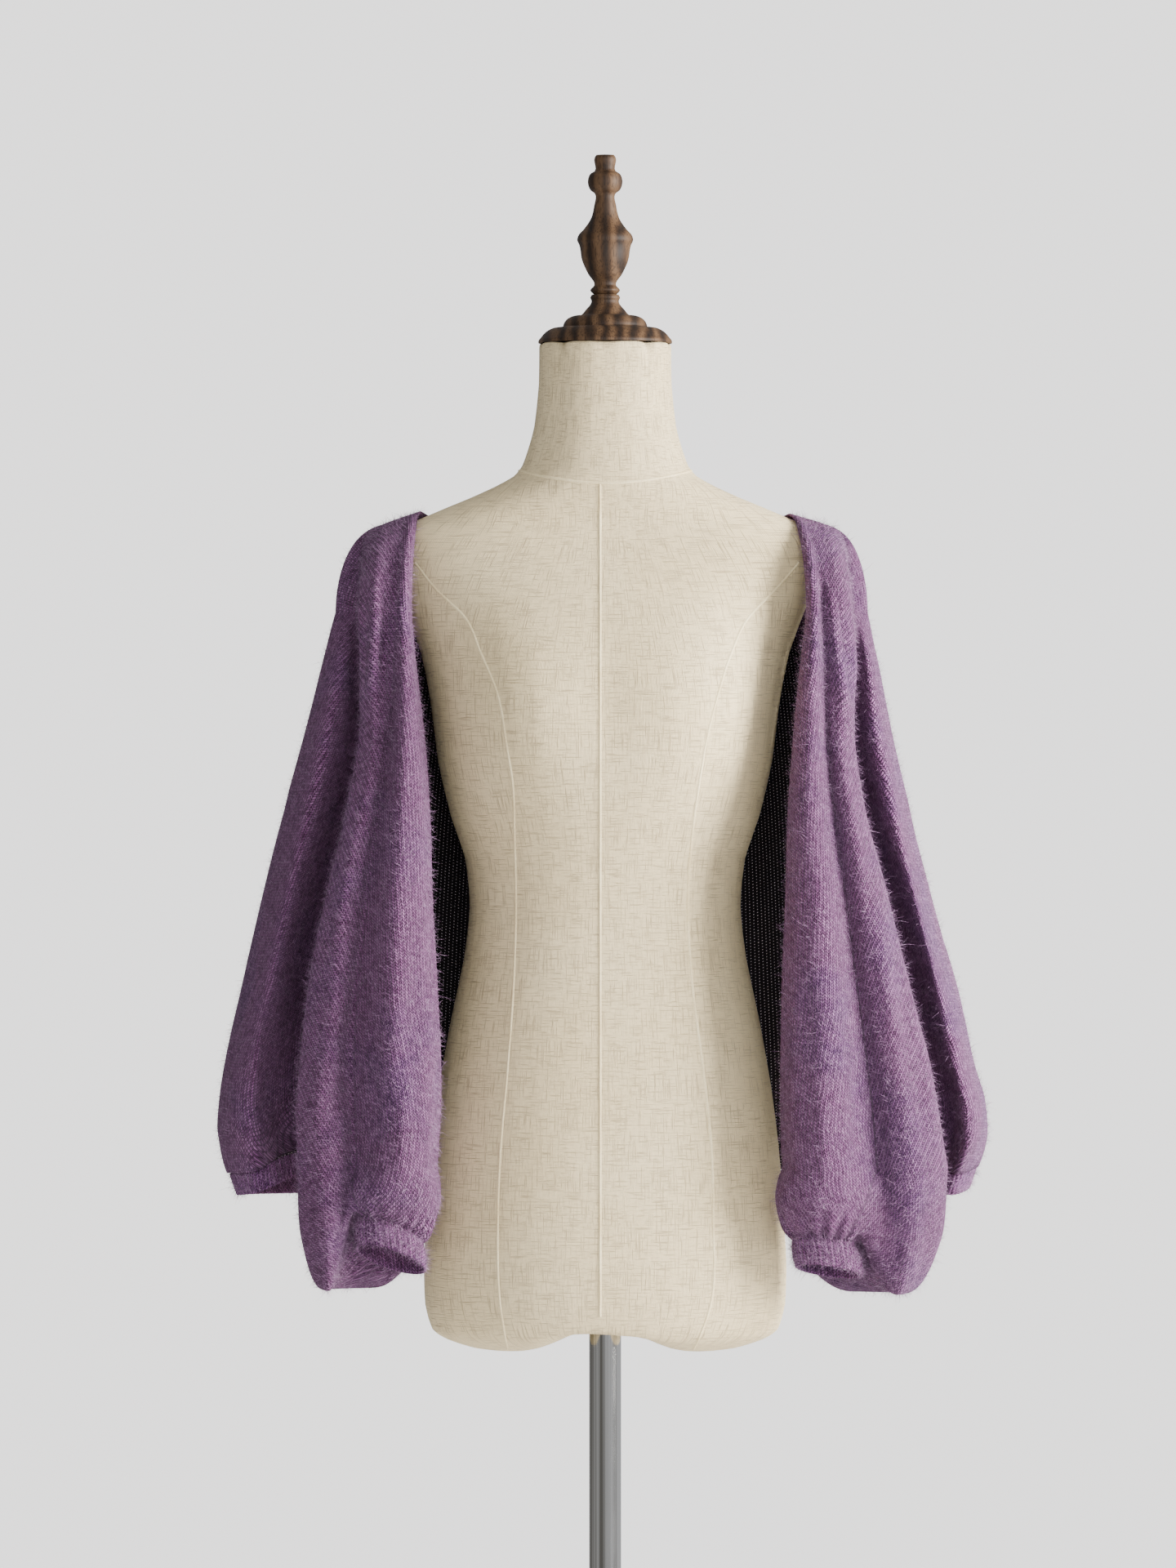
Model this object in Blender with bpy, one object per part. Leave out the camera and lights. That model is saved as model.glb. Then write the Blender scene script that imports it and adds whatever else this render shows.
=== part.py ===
"""A knitted cocoon cardigan worn on a limbless dress form.

Metres, +Z up, +X to the viewer's right, the front faces -Y.
The origin is under the middle of the base plate.
Tables are in millimetres. In the cloth's tables "out" is the distance from the
middle to either side, and depth is along Y, less towards the viewer.
"""

import math

import bmesh
import bpy
import numpy as np

MM = 0.001

# Cloth
CLOTH = 1.8  # wall of the knitted fabric
SEAM_GAP = 0.3  # between two pieces that are sewn together
SHOULDER_GAP = 0.7  # between the middles of two edges that lean towards each other
RIB_RISE = 0.9  # height of a rib over the band's plain inside
CUFF_RIBS = 36
HEM_RIBS = 120
HEM_DEPTH = 18.0
HEM_GAP = 0.5
HEM_DRAW = 0.98  # how far the band draws in towards its lower edge
HEM_REACH = 4  # steps to each side over which the band's direction is taken

# Grids of the cloth: columns go round, rows go down. The yoke's rows cover the shoulder,
# the body's are level, and the gather's draw the sleeve into its cuff.
SLEEVE_COLUMNS = 25
YOKE_ROWS = 5
BODY_ROWS = 14
GATHER_ROWS = 8
BACK_COLUMNS = 40
BACK_ROWS = 13

YOKE_END = 1331.0  # the first level section under the shoulder line
SLEEVE_END = 866.0  # the last level section, where the gather into the cuff starts
TUBE_ROWS = 1  # level rows below the underarm, where the sleeve is a closed tube
UNDERARM = SLEEVE_END + TUBE_ROWS * (YOKE_END - SLEEVE_END) / BODY_ROWS
OPENING_RISE = 100.0  # over which the sleeve opens above the underarm
FOLD_START = 0.55  # share of the shoulder seam after which it turns into a fold
FOLD_RUN = 0.25

# The front of each side, from the photograph: height, then how far out the sleeve's free
# edge, the crease between its two lobes, the outer lobe's edge and the whole outline lie
FRONT = {
    "left": (
        # height, edge, crease, lobe, outline
        (838, 142, 208, 252, 308),
        (848, 142, 208, 253, 315),
        (882, 140, 208, 254, 326),
        (917, 138, 209, 255, 326),
        (951, 138, 210, 252, 321),
        (1020, 141, 206, 245, 306),
        (1089, 145, 198, 232, 290),
        (1158, 147, 189, 216, 273),
        (1227, 152, 180, 204, 254),
        (1296, 160, 175, 204, 236),
        (1331, 163, 174, 206, 227),
        (1365, 164, 172, 208, 217),
    ),
    "right": (
        # height, edge, crease, lobe, outline
        (838, 150, 230, 284, 302),
        (848, 150, 229, 284, 308),
        (882, 148, 226, 279, 322),
        (917, 147, 223, 273, 321),
        (951, 147, 219, 267, 311),
        (1020, 148, 210, 251, 295),
        (1089, 151, 201, 234, 277),
        (1158, 153, 192, 217, 259),
        (1227, 158, 185, 206, 242),
        (1296, 165, 181, 209, 228),
        (1331, 169, 180, 207, 221),
        (1365, 170, 177, 206, 213),
    ),
}

# Depths of the sleeve's section
SLEEVE_DEPTHS = (
    # height, edge, front lobe, crease, second lobe, its turn, wall behind, seam
    (838, -88, -118, -96, -104, -80, -52, -68),
    (882, -92, -124, -97, -108, -80, -53, -65),
    (951, -92, -124, -97, -107, -78, -54, -60),
    (1020, -90, -121, -95, -104, -76, -55, -54),
    (1089, -86, -116, -92, -101, -74, -54, -50),
    (1158, -82, -109, -87, -96, -70, -52, -47),
    (1227, -76, -100, -81, -88, -65, -50, -43),
    (1296, -72, -88, -77, -79, -60, -47, -34),
    (1331, -67, -79, -73, -75, -54, -39, -24),
)

# Where the armhole seam runs
SEAM_OUT = (
    # height, out
    (838, 152),
    (882, 152),
    (951, 153),
    (1020, 155),
    (1089, 158),
    (1158, 163),
    (1193, 168),
    (1227, 176),
    (1262, 187),
    (1296, 197),
    (1331, 204),
    (1365, 205),
)

# Depths of the back panel's section
BACK_DEPTHS = (
    # height, behind the sleeve, valley, outer lobe, outline, rear corner, back
    (838, -36, -24, -32, 4, 98, 125),
    (882, -36, -8, -53, 12, 110, 127),
    (951, -37, -4, -64, 12, 114, 125),
    (1020, -38, -6, -64, 10, 112, 122),
    (1089, -37, -10, -63, 8, 108, 119),
    (1158, -36, -16, -60, 6, 103, 117),
    (1227, -34, -24, -54, 4, 96, 114),
    (1296, -29, -25, -31, 2, 86, 109),
    (1331, -20, -16, -9, 3, 78, 102),
)

# The seam over each shoulder, from the neck side outwards and down in front
SHOULDER = {
    "left": (
        # share of the way, out, depth, height
        (0.00, 156, 0, 1416.0),
        (0.25, 171, 0, 1411.0),
        (0.50, 186, 0, 1405.5),
        (0.72, 200, -1, 1398.5),
        (0.82, 203, -4, 1391.0),
        (0.91, 205, -8, 1380.0),
        (1.00, 205, -13, 1365.0),
    ),
    "right": (
        # share of the way, out, depth, height
        (0.00, 156, 0, 1414.0),
        (0.25, 168, 0, 1410.5),
        (0.50, 184, 0, 1405.5),
        (0.72, 198, -1, 1398.5),
        (0.82, 202, -4, 1391.0),
        (0.91, 204, -8, 1380.0),
        (1.00, 204, -13, 1365.0),
    ),
}

# The back's neckline from a shoulder to the middle: out, depth, height
NECKLINE = ((142.0, 45.0, 1409.0), (100.0, 80.0, 1392.0), (0.0, 98.0, 1376.0))
NECKLINE_STATIONS = (0.73, 0.80, 0.88, 1.0)

# Heights of the back panel's lower edge, at the stations of its half section
FOOT = {
    "left": (880, 880, 878, 861, 857, 855, 854, 853, 853),
    "right": (870, 868, 862, 858, 864, 860, 856, 854, 853),
}

# The cuffs: the middle of the upper edge, half its width and depth, how much lower its
# inner side and its rear hang, and where the band leads on its way down
CUFFS = {
    "left": {
        "middle": (181.0, -87.0, 809.0),
        "half_width": 28.0,
        "half_depth": 19.0,
        "inner_drop": 9.0,
        "rear_drop": 9.5,
        "lead": (-2.0, -3.0, -20.0),
    },
    "right": {
        "middle": (184.0, -87.0, 800.0),
        "half_width": 27.0,
        "half_depth": 19.0,
        "inner_drop": -4.0,
        "rear_drop": 5.5,
        "lead": (3.0, -3.0, -21.0),
    },
}
GATHER_NECK = 0.2  # of the band's depth, where the sleeve stands upright above it
GATHER_ROLL = 5.0  # how far outside the cuff the hanging lobe rolls over into it
GATHER_LEDGE = 8.0  # how far out the sleeve stays above the roll where it doesn't hang
# The part of the section that hangs, and over how much of it each side of it slopes
HANG_FROM = 0.34
HANG_TO = 0.78
HANG_SIDE = 0.17
# How low the second lobe droops past the cuff
DROOP = {"left": 764.0, "right": 761.0}

# The dress form: level rings
FORM = (
    # height, half width, front depth, back depth
    (1558.5, 56, 54, 54),
    (1524, 56, 55, 55),
    (1487, 60, 58, 58),
    (1470, 65, 62, 62),
    (1455, 70, 66, 64),
    (1446, 77, 67, 65),
    (1437, 94, 67, 66),
    (1428, 114, 64, 66),
    (1419.5, 135, 62, 65),
    (1410.5, 156, 60, 63),
    (1402.5, 175, 60, 64),
    (1392, 186, 64, 68),
    (1372, 185, 74, 77),
    (1345, 174, 88, 86),
    (1296, 155, 110, 96),
    (1250, 147, 120, 99),
    (1205, 142, 118, 94),
    (1158, 131, 103, 84),
    (1124, 118, 93, 77),
    (1083, 114, 89, 74),
    (1040, 119, 91, 80),
    (986, 131, 96, 94),
    (930, 141, 101, 106),
    (882, 147, 104, 113),
    (830, 151, 106, 115),
    (780, 154, 106, 109),
    (745, 153, 102, 100),
    (724, 147, 94, 92),
)
FORM_SIDES = 36
FORM_POWER = 2.25
BUST_HEIGHT = 1250.0
BUST_OUT = 78.0
BUST_RISE = 9.0
THIGH_END = 705.0
CROTCH = 736.0

# Turned walnut, profiles from the top down
FINIAL = (
    # radius, height
    (7.6, 1718.0),
    (8.9, 1716.0),
    (8.9, 1704.5),
    (12.6, 1702.0),
    (14.7, 1695.5),
    (12.6, 1688.5),
    (8.6, 1685.0),
    (9.4, 1675.0),
    (12.0, 1664.5),
    (17.9, 1655.5),
    (23.2, 1649.0),
    (23.7, 1646.0),
    (22.0, 1642.0),
    (19.6, 1629.0),
    (14.5, 1617.5),
    (9.2, 1608.0),
    (12.6, 1603.5),
    (9.6, 1600.0),
)
NECK_CAP = (
    # radius, height
    (11.5, 1599.7),
    (12.6, 1597.5),
    (11.6, 1594.5),
    (16.5, 1587.0),
    (20.0, 1583.0),
    (28.0, 1581.5),
    (33.0, 1578.5),
    (35.2, 1575.0),
    (35.8, 1572.6),
    (44.5, 1571.4),
    (50.5, 1568.0),
    (54.5, 1563.5),
    (56.6, 1560.5),
    (56.6, 1558.8),
)
TURNED_SIDES = 20

POLE_RADIUS = 13.5
POLE_SIDES = 24
BASE_RADIUS = 160.0
BASE_THICK = 10.0
BASE_EDGE = 3.0
BASE_COLLAR = (
    # radius, height
    (14.0, 42.0),
    (19.0, 42.0),
    (21.0, 40.0),
    (22.0, 20.0),
    (28.0, 14.0),
    (44.0, 10.3),
)
BASE_SIDES = 48


def clear_scene():
    for old in list(bpy.data.objects):
        bpy.data.objects.remove(old, do_unlink=True)


def curve_through(keys, points):
    """A smooth curve that passes each point at its key."""
    keys = np.array(keys, float)
    points = np.array(points, float)
    slopes = np.gradient(points, keys, axis=0)

    def at(key):
        key = min(max(key, keys[0]), keys[-1])
        step = min(int(np.searchsorted(keys, key, side="right")) - 1, len(keys) - 2)
        width = keys[step + 1] - keys[step]
        t = (key - keys[step]) / width
        start = (1 + 2 * t) * (1 - t) ** 2 * points[step]
        leave = t * (1 - t) ** 2 * width * slopes[step]
        end = t * t * (3 - 2 * t) * points[step + 1]
        arrive = t * t * (t - 1) * width * slopes[step + 1]
        return start + leave + end + arrive

    return at


def table_curve(rows):
    """A table read by its first column."""
    return curve_through([row[0] for row in rows], [row[1:] for row in rows])


def ease(t):
    t = min(max(t, 0.0), 1.0)
    return t * t * (3 - 2 * t)


def mix(a, b, t):
    return a + (b - a) * t


def bezier(start, leave, arrive, end, t):
    s = 1 - t
    return s**3 * start + 3 * s * s * t * leave + 3 * s * t * t * arrive + t**3 * end


front_of = {side: table_curve(rows) for side, rows in FRONT.items()}
sleeve_depths_at = table_curve(SLEEVE_DEPTHS)
seam_out_at = table_curve(SEAM_OUT)
back_depths_at = table_curve(BACK_DEPTHS)
shoulder_at = {side: table_curve(rows) for side, rows in SHOULDER.items()}

# Places along the sleeve's section, from its free edge round to the armhole seam
SLEEVE_STATIONS = (0.0, 0.12, 0.26, 0.36, 0.45, 0.59, 0.71, 0.80, 0.90, 1.0)
# The same places on the shoulder seam, as shares of its way
SLEEVE_SHOULDER = (0.0, 0.05, 0.10, 0.17, 0.28, 0.45, 0.61, 0.75, 0.89, 1.0)
# Places along half of the back's section, from the armhole seam to the middle of the back
BACK_STATIONS = (0.0, 0.10, 0.19, 0.31, 0.43, 0.58, 0.73, 0.87, 1.0)
BACK_SHOULDER = (1.0, 0.94, 0.88, 0.80, 0.68, 0.38, 0.0)


def side_sign(side):
    return -1.0 if side == "left" else 1.0


def seam_offset(share):
    """Half the space between the middles of two walls at a share of the way down the seam.

    On the shoulder sleeve and back lie edge to edge, further down they lie face to face.
    """
    return SHOULDER_GAP / 2 + CLOTH / 2 * ease((share - FOLD_START) / FOLD_RUN)


def sleeve_section(side, height):
    """The sleeve's level section: a curve of (out, depth)."""
    edge, crease, lobe, _outline = front_of[side](height)
    y_edge, y_front, y_crease, y_second, y_turn, y_behind, y_seam = sleeve_depths_at(height)
    seam = seam_out_at(height)[0]
    opened = min(max((height - UNDERARM) / OPENING_RISE, 0.0), 1.0)
    y_join = mix(y_edge, y_seam, 0.5)
    first = (edge, mix(y_join, y_edge, opened))
    y_last = y_seam - seam_offset(1.0)
    last = (mix(edge, seam, opened), mix(y_join, y_last, opened))
    front_width = crease - edge
    lobe_width = lobe - crease
    wrap = min(max((lobe - last[0]) / 50.0, 0.0), 1.0)
    points = (
        first,
        (edge + mix(0.16, 0.2, opened) * front_width, mix(y_edge, y_front, 0.8)),
        (edge + 0.62 * front_width, y_front),
        (crease, y_crease),
        (crease + 0.28 * lobe_width, y_second + 1.0),
        (crease + 0.70 * lobe_width, y_second + 2.0),
        (lobe, y_turn),
        (mix(lobe, last[0], 0.42), mix(mix(y_turn, last[1], 0.35), y_behind, wrap)),
        (mix(lobe, last[0], 0.76), mix(mix(y_turn, last[1], 0.68), y_behind - 6.0, wrap)),
        last,
    )
    return curve_through(SLEEVE_STATIONS, points)


def cuff_point(side, turn, down=0.0, rise=0.0):
    """A point on the cuff: turn runs from its inner side over the front and round."""
    cuff = CUFFS[side]
    angle = math.pi + turn * 2 * math.pi
    across = math.cos(angle)
    back = math.sin(angle)
    middle = cuff["middle"]
    lead = cuff["lead"]
    out = middle[0] + (cuff["half_width"] + rise) * across + lead[0] * down
    depth = middle[1] + (cuff["half_depth"] + rise) * back + lead[1] * down
    height = middle[2] + cuff["inner_drop"] * across - cuff["rear_drop"] * back + lead[2] * down
    return np.array((out, depth, height))


def over_shoulder(top, low, level, t):
    """A way over the shoulder. With level 1 it leaves the seam level and arrives upright."""
    across = low - top
    level_leave = 0.55 * np.array((across[0], across[1], -0.4 * abs(across[0])))
    upright = np.array((0.0, 0.0, -0.5 * across[2]))
    leave = top + mix(across / 3, level_leave, level)
    arrive = low + mix(-across / 3, upright, level)
    return bezier(top, leave, arrive, low, t)


def sleeve_point(side, q, row):
    """A point in the sleeve's wall: q round it, row counted from the shoulder down."""
    body_end = YOKE_ROWS + BODY_ROWS
    if row < YOKE_ROWS:
        share = sleeve_on_shoulder(q)
        top = shoulder_at[side](share)
        top[1] -= seam_offset(share)
        low = np.array((*sleeve_section(side, YOKE_END)(q), YOKE_END))
        return over_shoulder(top, low, 1 - ease((q - 0.6) / 0.4), row / YOKE_ROWS)
    if row <= body_end:
        height = mix(YOKE_END, SLEEVE_END, (row - YOKE_ROWS) / BODY_ROWS)
        return np.array((*sleeve_section(side, height)(q), height))
    if row > body_end + GATHER_ROWS - 1:
        brim = cuff_point(side, q)
        brim[2] += SEAM_GAP + 0.15
        return mix(cuff_point(side, q, -GATHER_NECK), brim, row - body_end - GATHER_ROWS + 1)
    return gather_way(side, q)((row - body_end) / (GATHER_ROWS - 1))


def gather_way(side, q):
    """The way down from the last level section into the cuff. The second lobe hangs past it."""
    start = np.array((*sleeve_section(side, SLEEVE_END)(q), SLEEVE_END))
    neck = cuff_point(side, q, -GATHER_NECK)
    away = (neck - np.array(CUFFS[side]["middle"])) * (1.0, 1.0, 0.0)
    away /= np.linalg.norm(away)
    hang = ease((q - HANG_FROM) / HANG_SIDE) * (1 - ease((q - HANG_TO) / HANG_SIDE))
    low = DROOP[side]
    brink = neck + GATHER_ROLL * away + (0.0, 0.0, 0.9 * GATHER_ROLL)
    points = [start]
    for share, across, bulge, height in (
        (0.25, 0.08, 3.0, mix(SLEEVE_END, low, 0.58)),
        (0.50, 0.42, 8.0, low),
        (0.70, 0.86, 4.0, mix(low, neck[2], 0.40)),
    ):
        hanging = mix(start, brink, across) + bulge * away
        hanging[2] = height
        fall = share / 0.87
        direct = mix(start, brink, 1 - (1 - fall) ** 2) + GATHER_LEDGE * math.sin(math.pi * fall) * away
        direct[2] = mix(start[2], brink[2], fall)
        points.append(mix(direct, hanging, hang))
    points.append(brink)
    points.append(neck)
    return curve_through((0.0, 0.25, 0.50, 0.70, 0.87, 1.0), points)


sleeve_on_shoulder = curve_through(SLEEVE_STATIONS, SLEEVE_SHOULDER)


def back_section(side, height):
    """Half of the back panel's level section, from the armhole seam to the middle."""
    _edge, _crease, lobe, outline = front_of[side](height)
    y_behind, y_valley, y_outer, y_outline, y_rear, y_back = back_depths_at(height)
    y_seam = sleeve_depths_at(height)[-1]
    seam = seam_out_at(height)[0]
    first = (seam, y_seam + seam_offset(1.0))
    merged = ease((height - 1296.0) / (YOKE_END - 1296.0))
    valley = mix(min(lobe + 3.0, mix(seam, outline, 0.75)), mix(seam, outline, 0.35), merged)
    points = (
        first,
        (mix(seam, valley, 0.48), y_behind),
        (valley, y_valley),
        (mix(valley, outline, 0.58), y_outer),
        (outline, y_outline),
        (0.91 * outline, 0.66 * y_rear),
        (0.70 * outline, y_rear),
        (0.36 * outline, y_back - 2.0),
        (0.0, y_back),
    )
    return curve_through(BACK_STATIONS, points)


def back_top(side, q):
    """The back panel's upper edge: up the shoulder seam, then the neckline."""
    share = back_on_shoulder(q)
    if q <= NECKLINE_STATIONS[0]:
        point = shoulder_at[side](share)
    else:
        point = curve_through(NECKLINE_STATIONS, (shoulder_at[side](0.0), *NECKLINE))(q)
    return point + (0.0, seam_offset(share), 0.0)


back_on_shoulder = curve_through(BACK_STATIONS[:7], BACK_SHOULDER)


def back_foot(side):
    """The height of the back panel's lower edge round its half section."""
    return curve_through(BACK_STATIONS, [(height,) for height in FOOT[side]])


def flute(side, q, height):
    """Soft folds that fall from the shoulders down the back."""
    across = ease((q - 0.58) / 0.15)
    down = ease((1330.0 - height) / 350.0)
    phase = 1.0 if side == "left" else 1.3
    return 4.5 * across * down * math.sin(q * 30.0 * phase)


def back_point(u, row):
    """A point in the back panel's wall: u from seam to seam, row counted down."""
    side = "left" if u <= 0.5 else "right"
    q = 2 * u if u <= 0.5 else 2 * (1 - u)
    if row < YOKE_ROWS:
        low = np.array((*back_section(side, YOKE_END)(q), YOKE_END))
        point = over_shoulder(back_top(side, q), low, ease(q / 0.35), row / YOKE_ROWS)
    else:
        foot = back_foot(side)(q)[0]
        height = mix(YOKE_END, foot, (row - YOKE_ROWS) / BACK_ROWS)
        out, depth = back_section(side, height)(q)
        point = np.array((out, depth + flute(side, q, height), height))
    return point * (side_sign(side), 1.0, 1.0)


def hem_rows():
    """The hem band's upper and lower edge, each from seam to seam, along the back's foot."""
    upper = []
    lower = []
    for column in range(BACK_COLUMNS + 1):
        top = back_point(column / BACK_COLUMNS, YOKE_ROWS + BACK_ROWS)
        top[2] -= HEM_GAP
        upper.append(top)
        lower.append(top * (HEM_DRAW, HEM_DRAW, 1.0) - (0.0, 0.0, HEM_DEPTH))
    return upper, lower


def along_row(row, share):
    """A point on a row of points joined by straight stretches."""
    place = share * (len(row) - 1)
    step = min(int(place), len(row) - 2)
    return mix(row[step], row[step + 1], place - step)


def material(name, colour, roughness, metallic=0.0):
    made = bpy.data.materials.new(name)
    made.use_nodes = True
    shader = made.node_tree.nodes["Principled BSDF"]
    shader.inputs["Base Color"].default_value = (*colour, 1.0)
    shader.inputs["Roughness"].default_value = roughness
    shader.inputs["Metallic"].default_value = metallic
    return made


def finish(name, bm, finish_material, smooth=True):
    """Turns a bmesh into a named object with its material."""
    mesh = bpy.data.meshes.new(name)
    bm.to_mesh(mesh)
    bm.free()
    if smooth:
        mesh.shade_smooth()
    mesh.materials.append(finish_material)
    made = bpy.data.objects.new(name, mesh)
    bpy.context.scene.collection.objects.link(made)
    return made


def give_wall(bm):
    """Turns a sheet into a closed wall, half its thickness to each side."""
    bm.normal_update()
    lean = {vert: vert.normal.copy() for vert in bm.verts}
    rim = [edge for edge in bm.edges if edge.is_boundary]
    sheet = list(bm.faces)
    inner = {vert: bm.verts.new(vert.co - lean[vert] * CLOTH * MM / 2) for vert in lean}
    for vert in lean:
        vert.co += lean[vert] * CLOTH * MM / 2
    for face in sheet:
        bm.faces.new([inner[vert] for vert in reversed(face.verts)])
    for edge in rim:
        first, second = edge.verts
        bm.faces.new((first, second, inner[second], inner[first]))
    bmesh.ops.recalc_face_normals(bm, faces=bm.faces)


def wall_from_grid(name, columns, rows, place, finish_material):
    """A sheet of cloth: a grid whose points are placed by place(u, v), then given its wall."""
    bm = bmesh.new()
    bmesh.ops.create_grid(bm, x_segments=columns, y_segments=rows, size=0.5)
    for vert in bm.verts:
        vert.co = place(vert.co.x + 0.5, 0.5 - vert.co.y)
    bmesh.ops.remove_doubles(bm, verts=bm.verts, dist=0.00001)
    give_wall(bm)
    return finish(name, bm, finish_material)


def make_sleeve(side, knit):
    sign = side_sign(side)
    rows = YOKE_ROWS + BODY_ROWS + GATHER_ROWS

    def place(u, v):
        out, depth, height = sleeve_point(side, u, v * rows)
        return (sign * out * MM, depth * MM, height * MM)

    return wall_from_grid(f"sleeve_{side}", SLEEVE_COLUMNS, rows, place, knit)


def make_back(knit):
    rows = YOKE_ROWS + BACK_ROWS

    def place(u, v):
        return back_point(u, v * rows) * MM

    return wall_from_grid("back_panel", BACK_COLUMNS, rows, place, knit)


def make_cuff(side, rib):
    """A tube with ribs raised on its outside: outer and inner loops, bridged."""
    sign = side_sign(side)
    bm = bmesh.new()
    points = CUFF_RIBS * 2
    loops = []
    for inner in (False, True):
        for row in range(3):
            down = row / 2 if not inner else 1 - row / 2
            loop = []
            for step in range(points):
                rise = -CLOTH / 2 if inner else CLOTH / 2 + RIB_RISE * (step % 2)
                out, depth, height = cuff_point(side, step / points, down, rise)
                loop.append(bm.verts.new((sign * out * MM, depth * MM, height * MM)))
            loops.append(loop)
    for upper, lower in zip(loops, loops[1:] + loops[:1]):
        for step in range(points):
            after = (step + 1) % points
            bm.faces.new((upper[step], upper[after], lower[after], lower[step]))
    bmesh.ops.recalc_face_normals(bm, faces=bm.faces)
    return finish(f"cuff_{side}", bm, rib)


def make_hem(rib):
    """A band with ribs raised on its outside, along the back panel's lower edge."""
    bm = bmesh.new()
    points = HEM_RIBS * 2
    centre = []
    for row in hem_rows():
        centre.append([along_row(row, step / points) for step in range(points + 1)])
    rings = []
    for step in range(points + 1):
        before = max(step - HEM_REACH, 0)
        after = min(step + HEM_REACH, points)
        along = centre[0][after] - centre[0][before]
        outward = np.array((-along[1], along[0], 0.0))
        outward /= -np.linalg.norm(outward)
        raised = RIB_RISE * (step % 2)
        ring = []
        for row, shift in ((0, CLOTH / 2 + raised), (1, CLOTH / 2 + raised), (1, -CLOTH / 2), (0, -CLOTH / 2)):
            ring.append(bm.verts.new((centre[row][step] + outward * shift) * MM))
        rings.append(ring)
    for ring, after in zip(rings, rings[1:]):
        for corner in range(4):
            nearby = (corner + 1) % 4
            bm.faces.new((ring[corner], after[corner], after[nearby], ring[nearby]))
    bm.faces.new(rings[0])
    bm.faces.new(rings[-1])
    bmesh.ops.recalc_face_normals(bm, faces=bm.faces)
    return finish("hem_band", bm, rib)


def form_ring_point(half_width, front, back, height, angle):
    """A point on the form's level ring, with the bust's soft rise in front."""
    across = math.cos(angle)
    along = math.sin(angle)
    x = half_width * math.copysign(abs(across) ** (2 / FORM_POWER), across)
    depth = back if along > 0 else front
    y = depth * math.copysign(abs(along) ** (2 / FORM_POWER), along)
    if along < 0:
        level = math.exp(-(((height - BUST_HEIGHT) / 55.0) ** 2))
        place = math.exp(-(((abs(x) - BUST_OUT) / 42.0) ** 2)) - 0.55 * math.exp(-((x / 30.0) ** 2))
        y -= BUST_RISE * level * place * abs(along)
    return x, y


def form_foot(x, y, share):
    """The underside of the form: two thigh ends with a low arch between them."""
    lift = math.exp(-((x / 42.0) ** 2))
    thigh = THIGH_END + (CROTCH - THIGH_END) * lift
    edge = FORM[-1][0]
    return mix(thigh, edge, share**6 * (1 - lift)) if share < 1 else edge


def make_form(linen):
    """Level rings from the neck to the hips, then the two thigh ends."""
    bm = bmesh.new()
    loops = []
    for height, half_width, front, back in FORM:
        loop = []
        for step in range(FORM_SIDES):
            angle = 2 * math.pi * step / FORM_SIDES
            x, y = form_ring_point(half_width, front, back, height, angle)
            loop.append(bm.verts.new((x * MM, y * MM, height * MM)))
        loops.append(loop)
    _height, half_width, front, back = FORM[-1]
    for share in (0.93, 0.80, 0.62, 0.42, 0.22):
        loop = []
        for step in range(FORM_SIDES):
            angle = 2 * math.pi * step / FORM_SIDES
            x, y = form_ring_point(half_width, front, back, FORM[-1][0], angle)
            round_share = POLE_RADIUS * 1.25
            x = mix(round_share * math.cos(angle), x, (share - 0.22) / 0.78)
            y = mix(round_share * math.sin(angle), y, (share - 0.22) / 0.78)
            height = CROTCH if share <= 0.22 else form_foot(x, y, share)
            loop.append(bm.verts.new((x * MM, y * MM, height * MM)))
        loops.append(loop)
    for upper, lower in zip(loops, loops[1:]):
        for step in range(FORM_SIDES):
            after = (step + 1) % FORM_SIDES
            bm.faces.new((upper[step], upper[after], lower[after], lower[step]))
    bm.faces.new(loops[0])
    bm.faces.new(loops[-1])
    bmesh.ops.recalc_face_normals(bm, faces=bm.faces)
    return finish("form_torso", bm, linen)


def make_turned(name, profile, sides, finish_material):
    """A turned piece: its profile spun about the upright axis, its ends closed."""
    bm = bmesh.new()
    points = [bm.verts.new((radius * MM, 0.0, height * MM)) for radius, height in profile]
    edges = [bm.edges.new(pair) for pair in zip(points, points[1:])]
    bmesh.ops.spin(
        bm,
        geom=points + edges,
        cent=(0.0, 0.0, 0.0),
        axis=(0.0, 0.0, 1.0),
        angle=2 * math.pi,
        steps=sides,
        use_merge=True,
    )
    bmesh.ops.remove_doubles(bm, verts=bm.verts, dist=0.00001)
    bmesh.ops.holes_fill(bm, edges=[edge for edge in bm.edges if edge.is_boundary], sides=0)
    bmesh.ops.recalc_face_normals(bm, faces=bm.faces)
    return finish(name, bm, finish_material)


def make_pole(chrome):
    top = CROTCH - SEAM_GAP
    bottom = BASE_THICK + SEAM_GAP
    profile = ((POLE_RADIUS, top), (POLE_RADIUS, bottom))
    return make_turned("pole", profile, POLE_SIDES, chrome)


def make_base(steel):
    profile = (
        (BASE_RADIUS - BASE_EDGE, BASE_THICK),
        (BASE_RADIUS, BASE_THICK - BASE_EDGE),
        (BASE_RADIUS, 0.0),
    )
    return make_turned("base_plate", profile, BASE_SIDES, steel)


def make_collar(chrome):
    """A ring round the pole where it stands on the plate."""
    closed = BASE_COLLAR + ((14.0, 10.3), BASE_COLLAR[0])
    return make_turned("base_collar", closed, POLE_SIDES, chrome)


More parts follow.
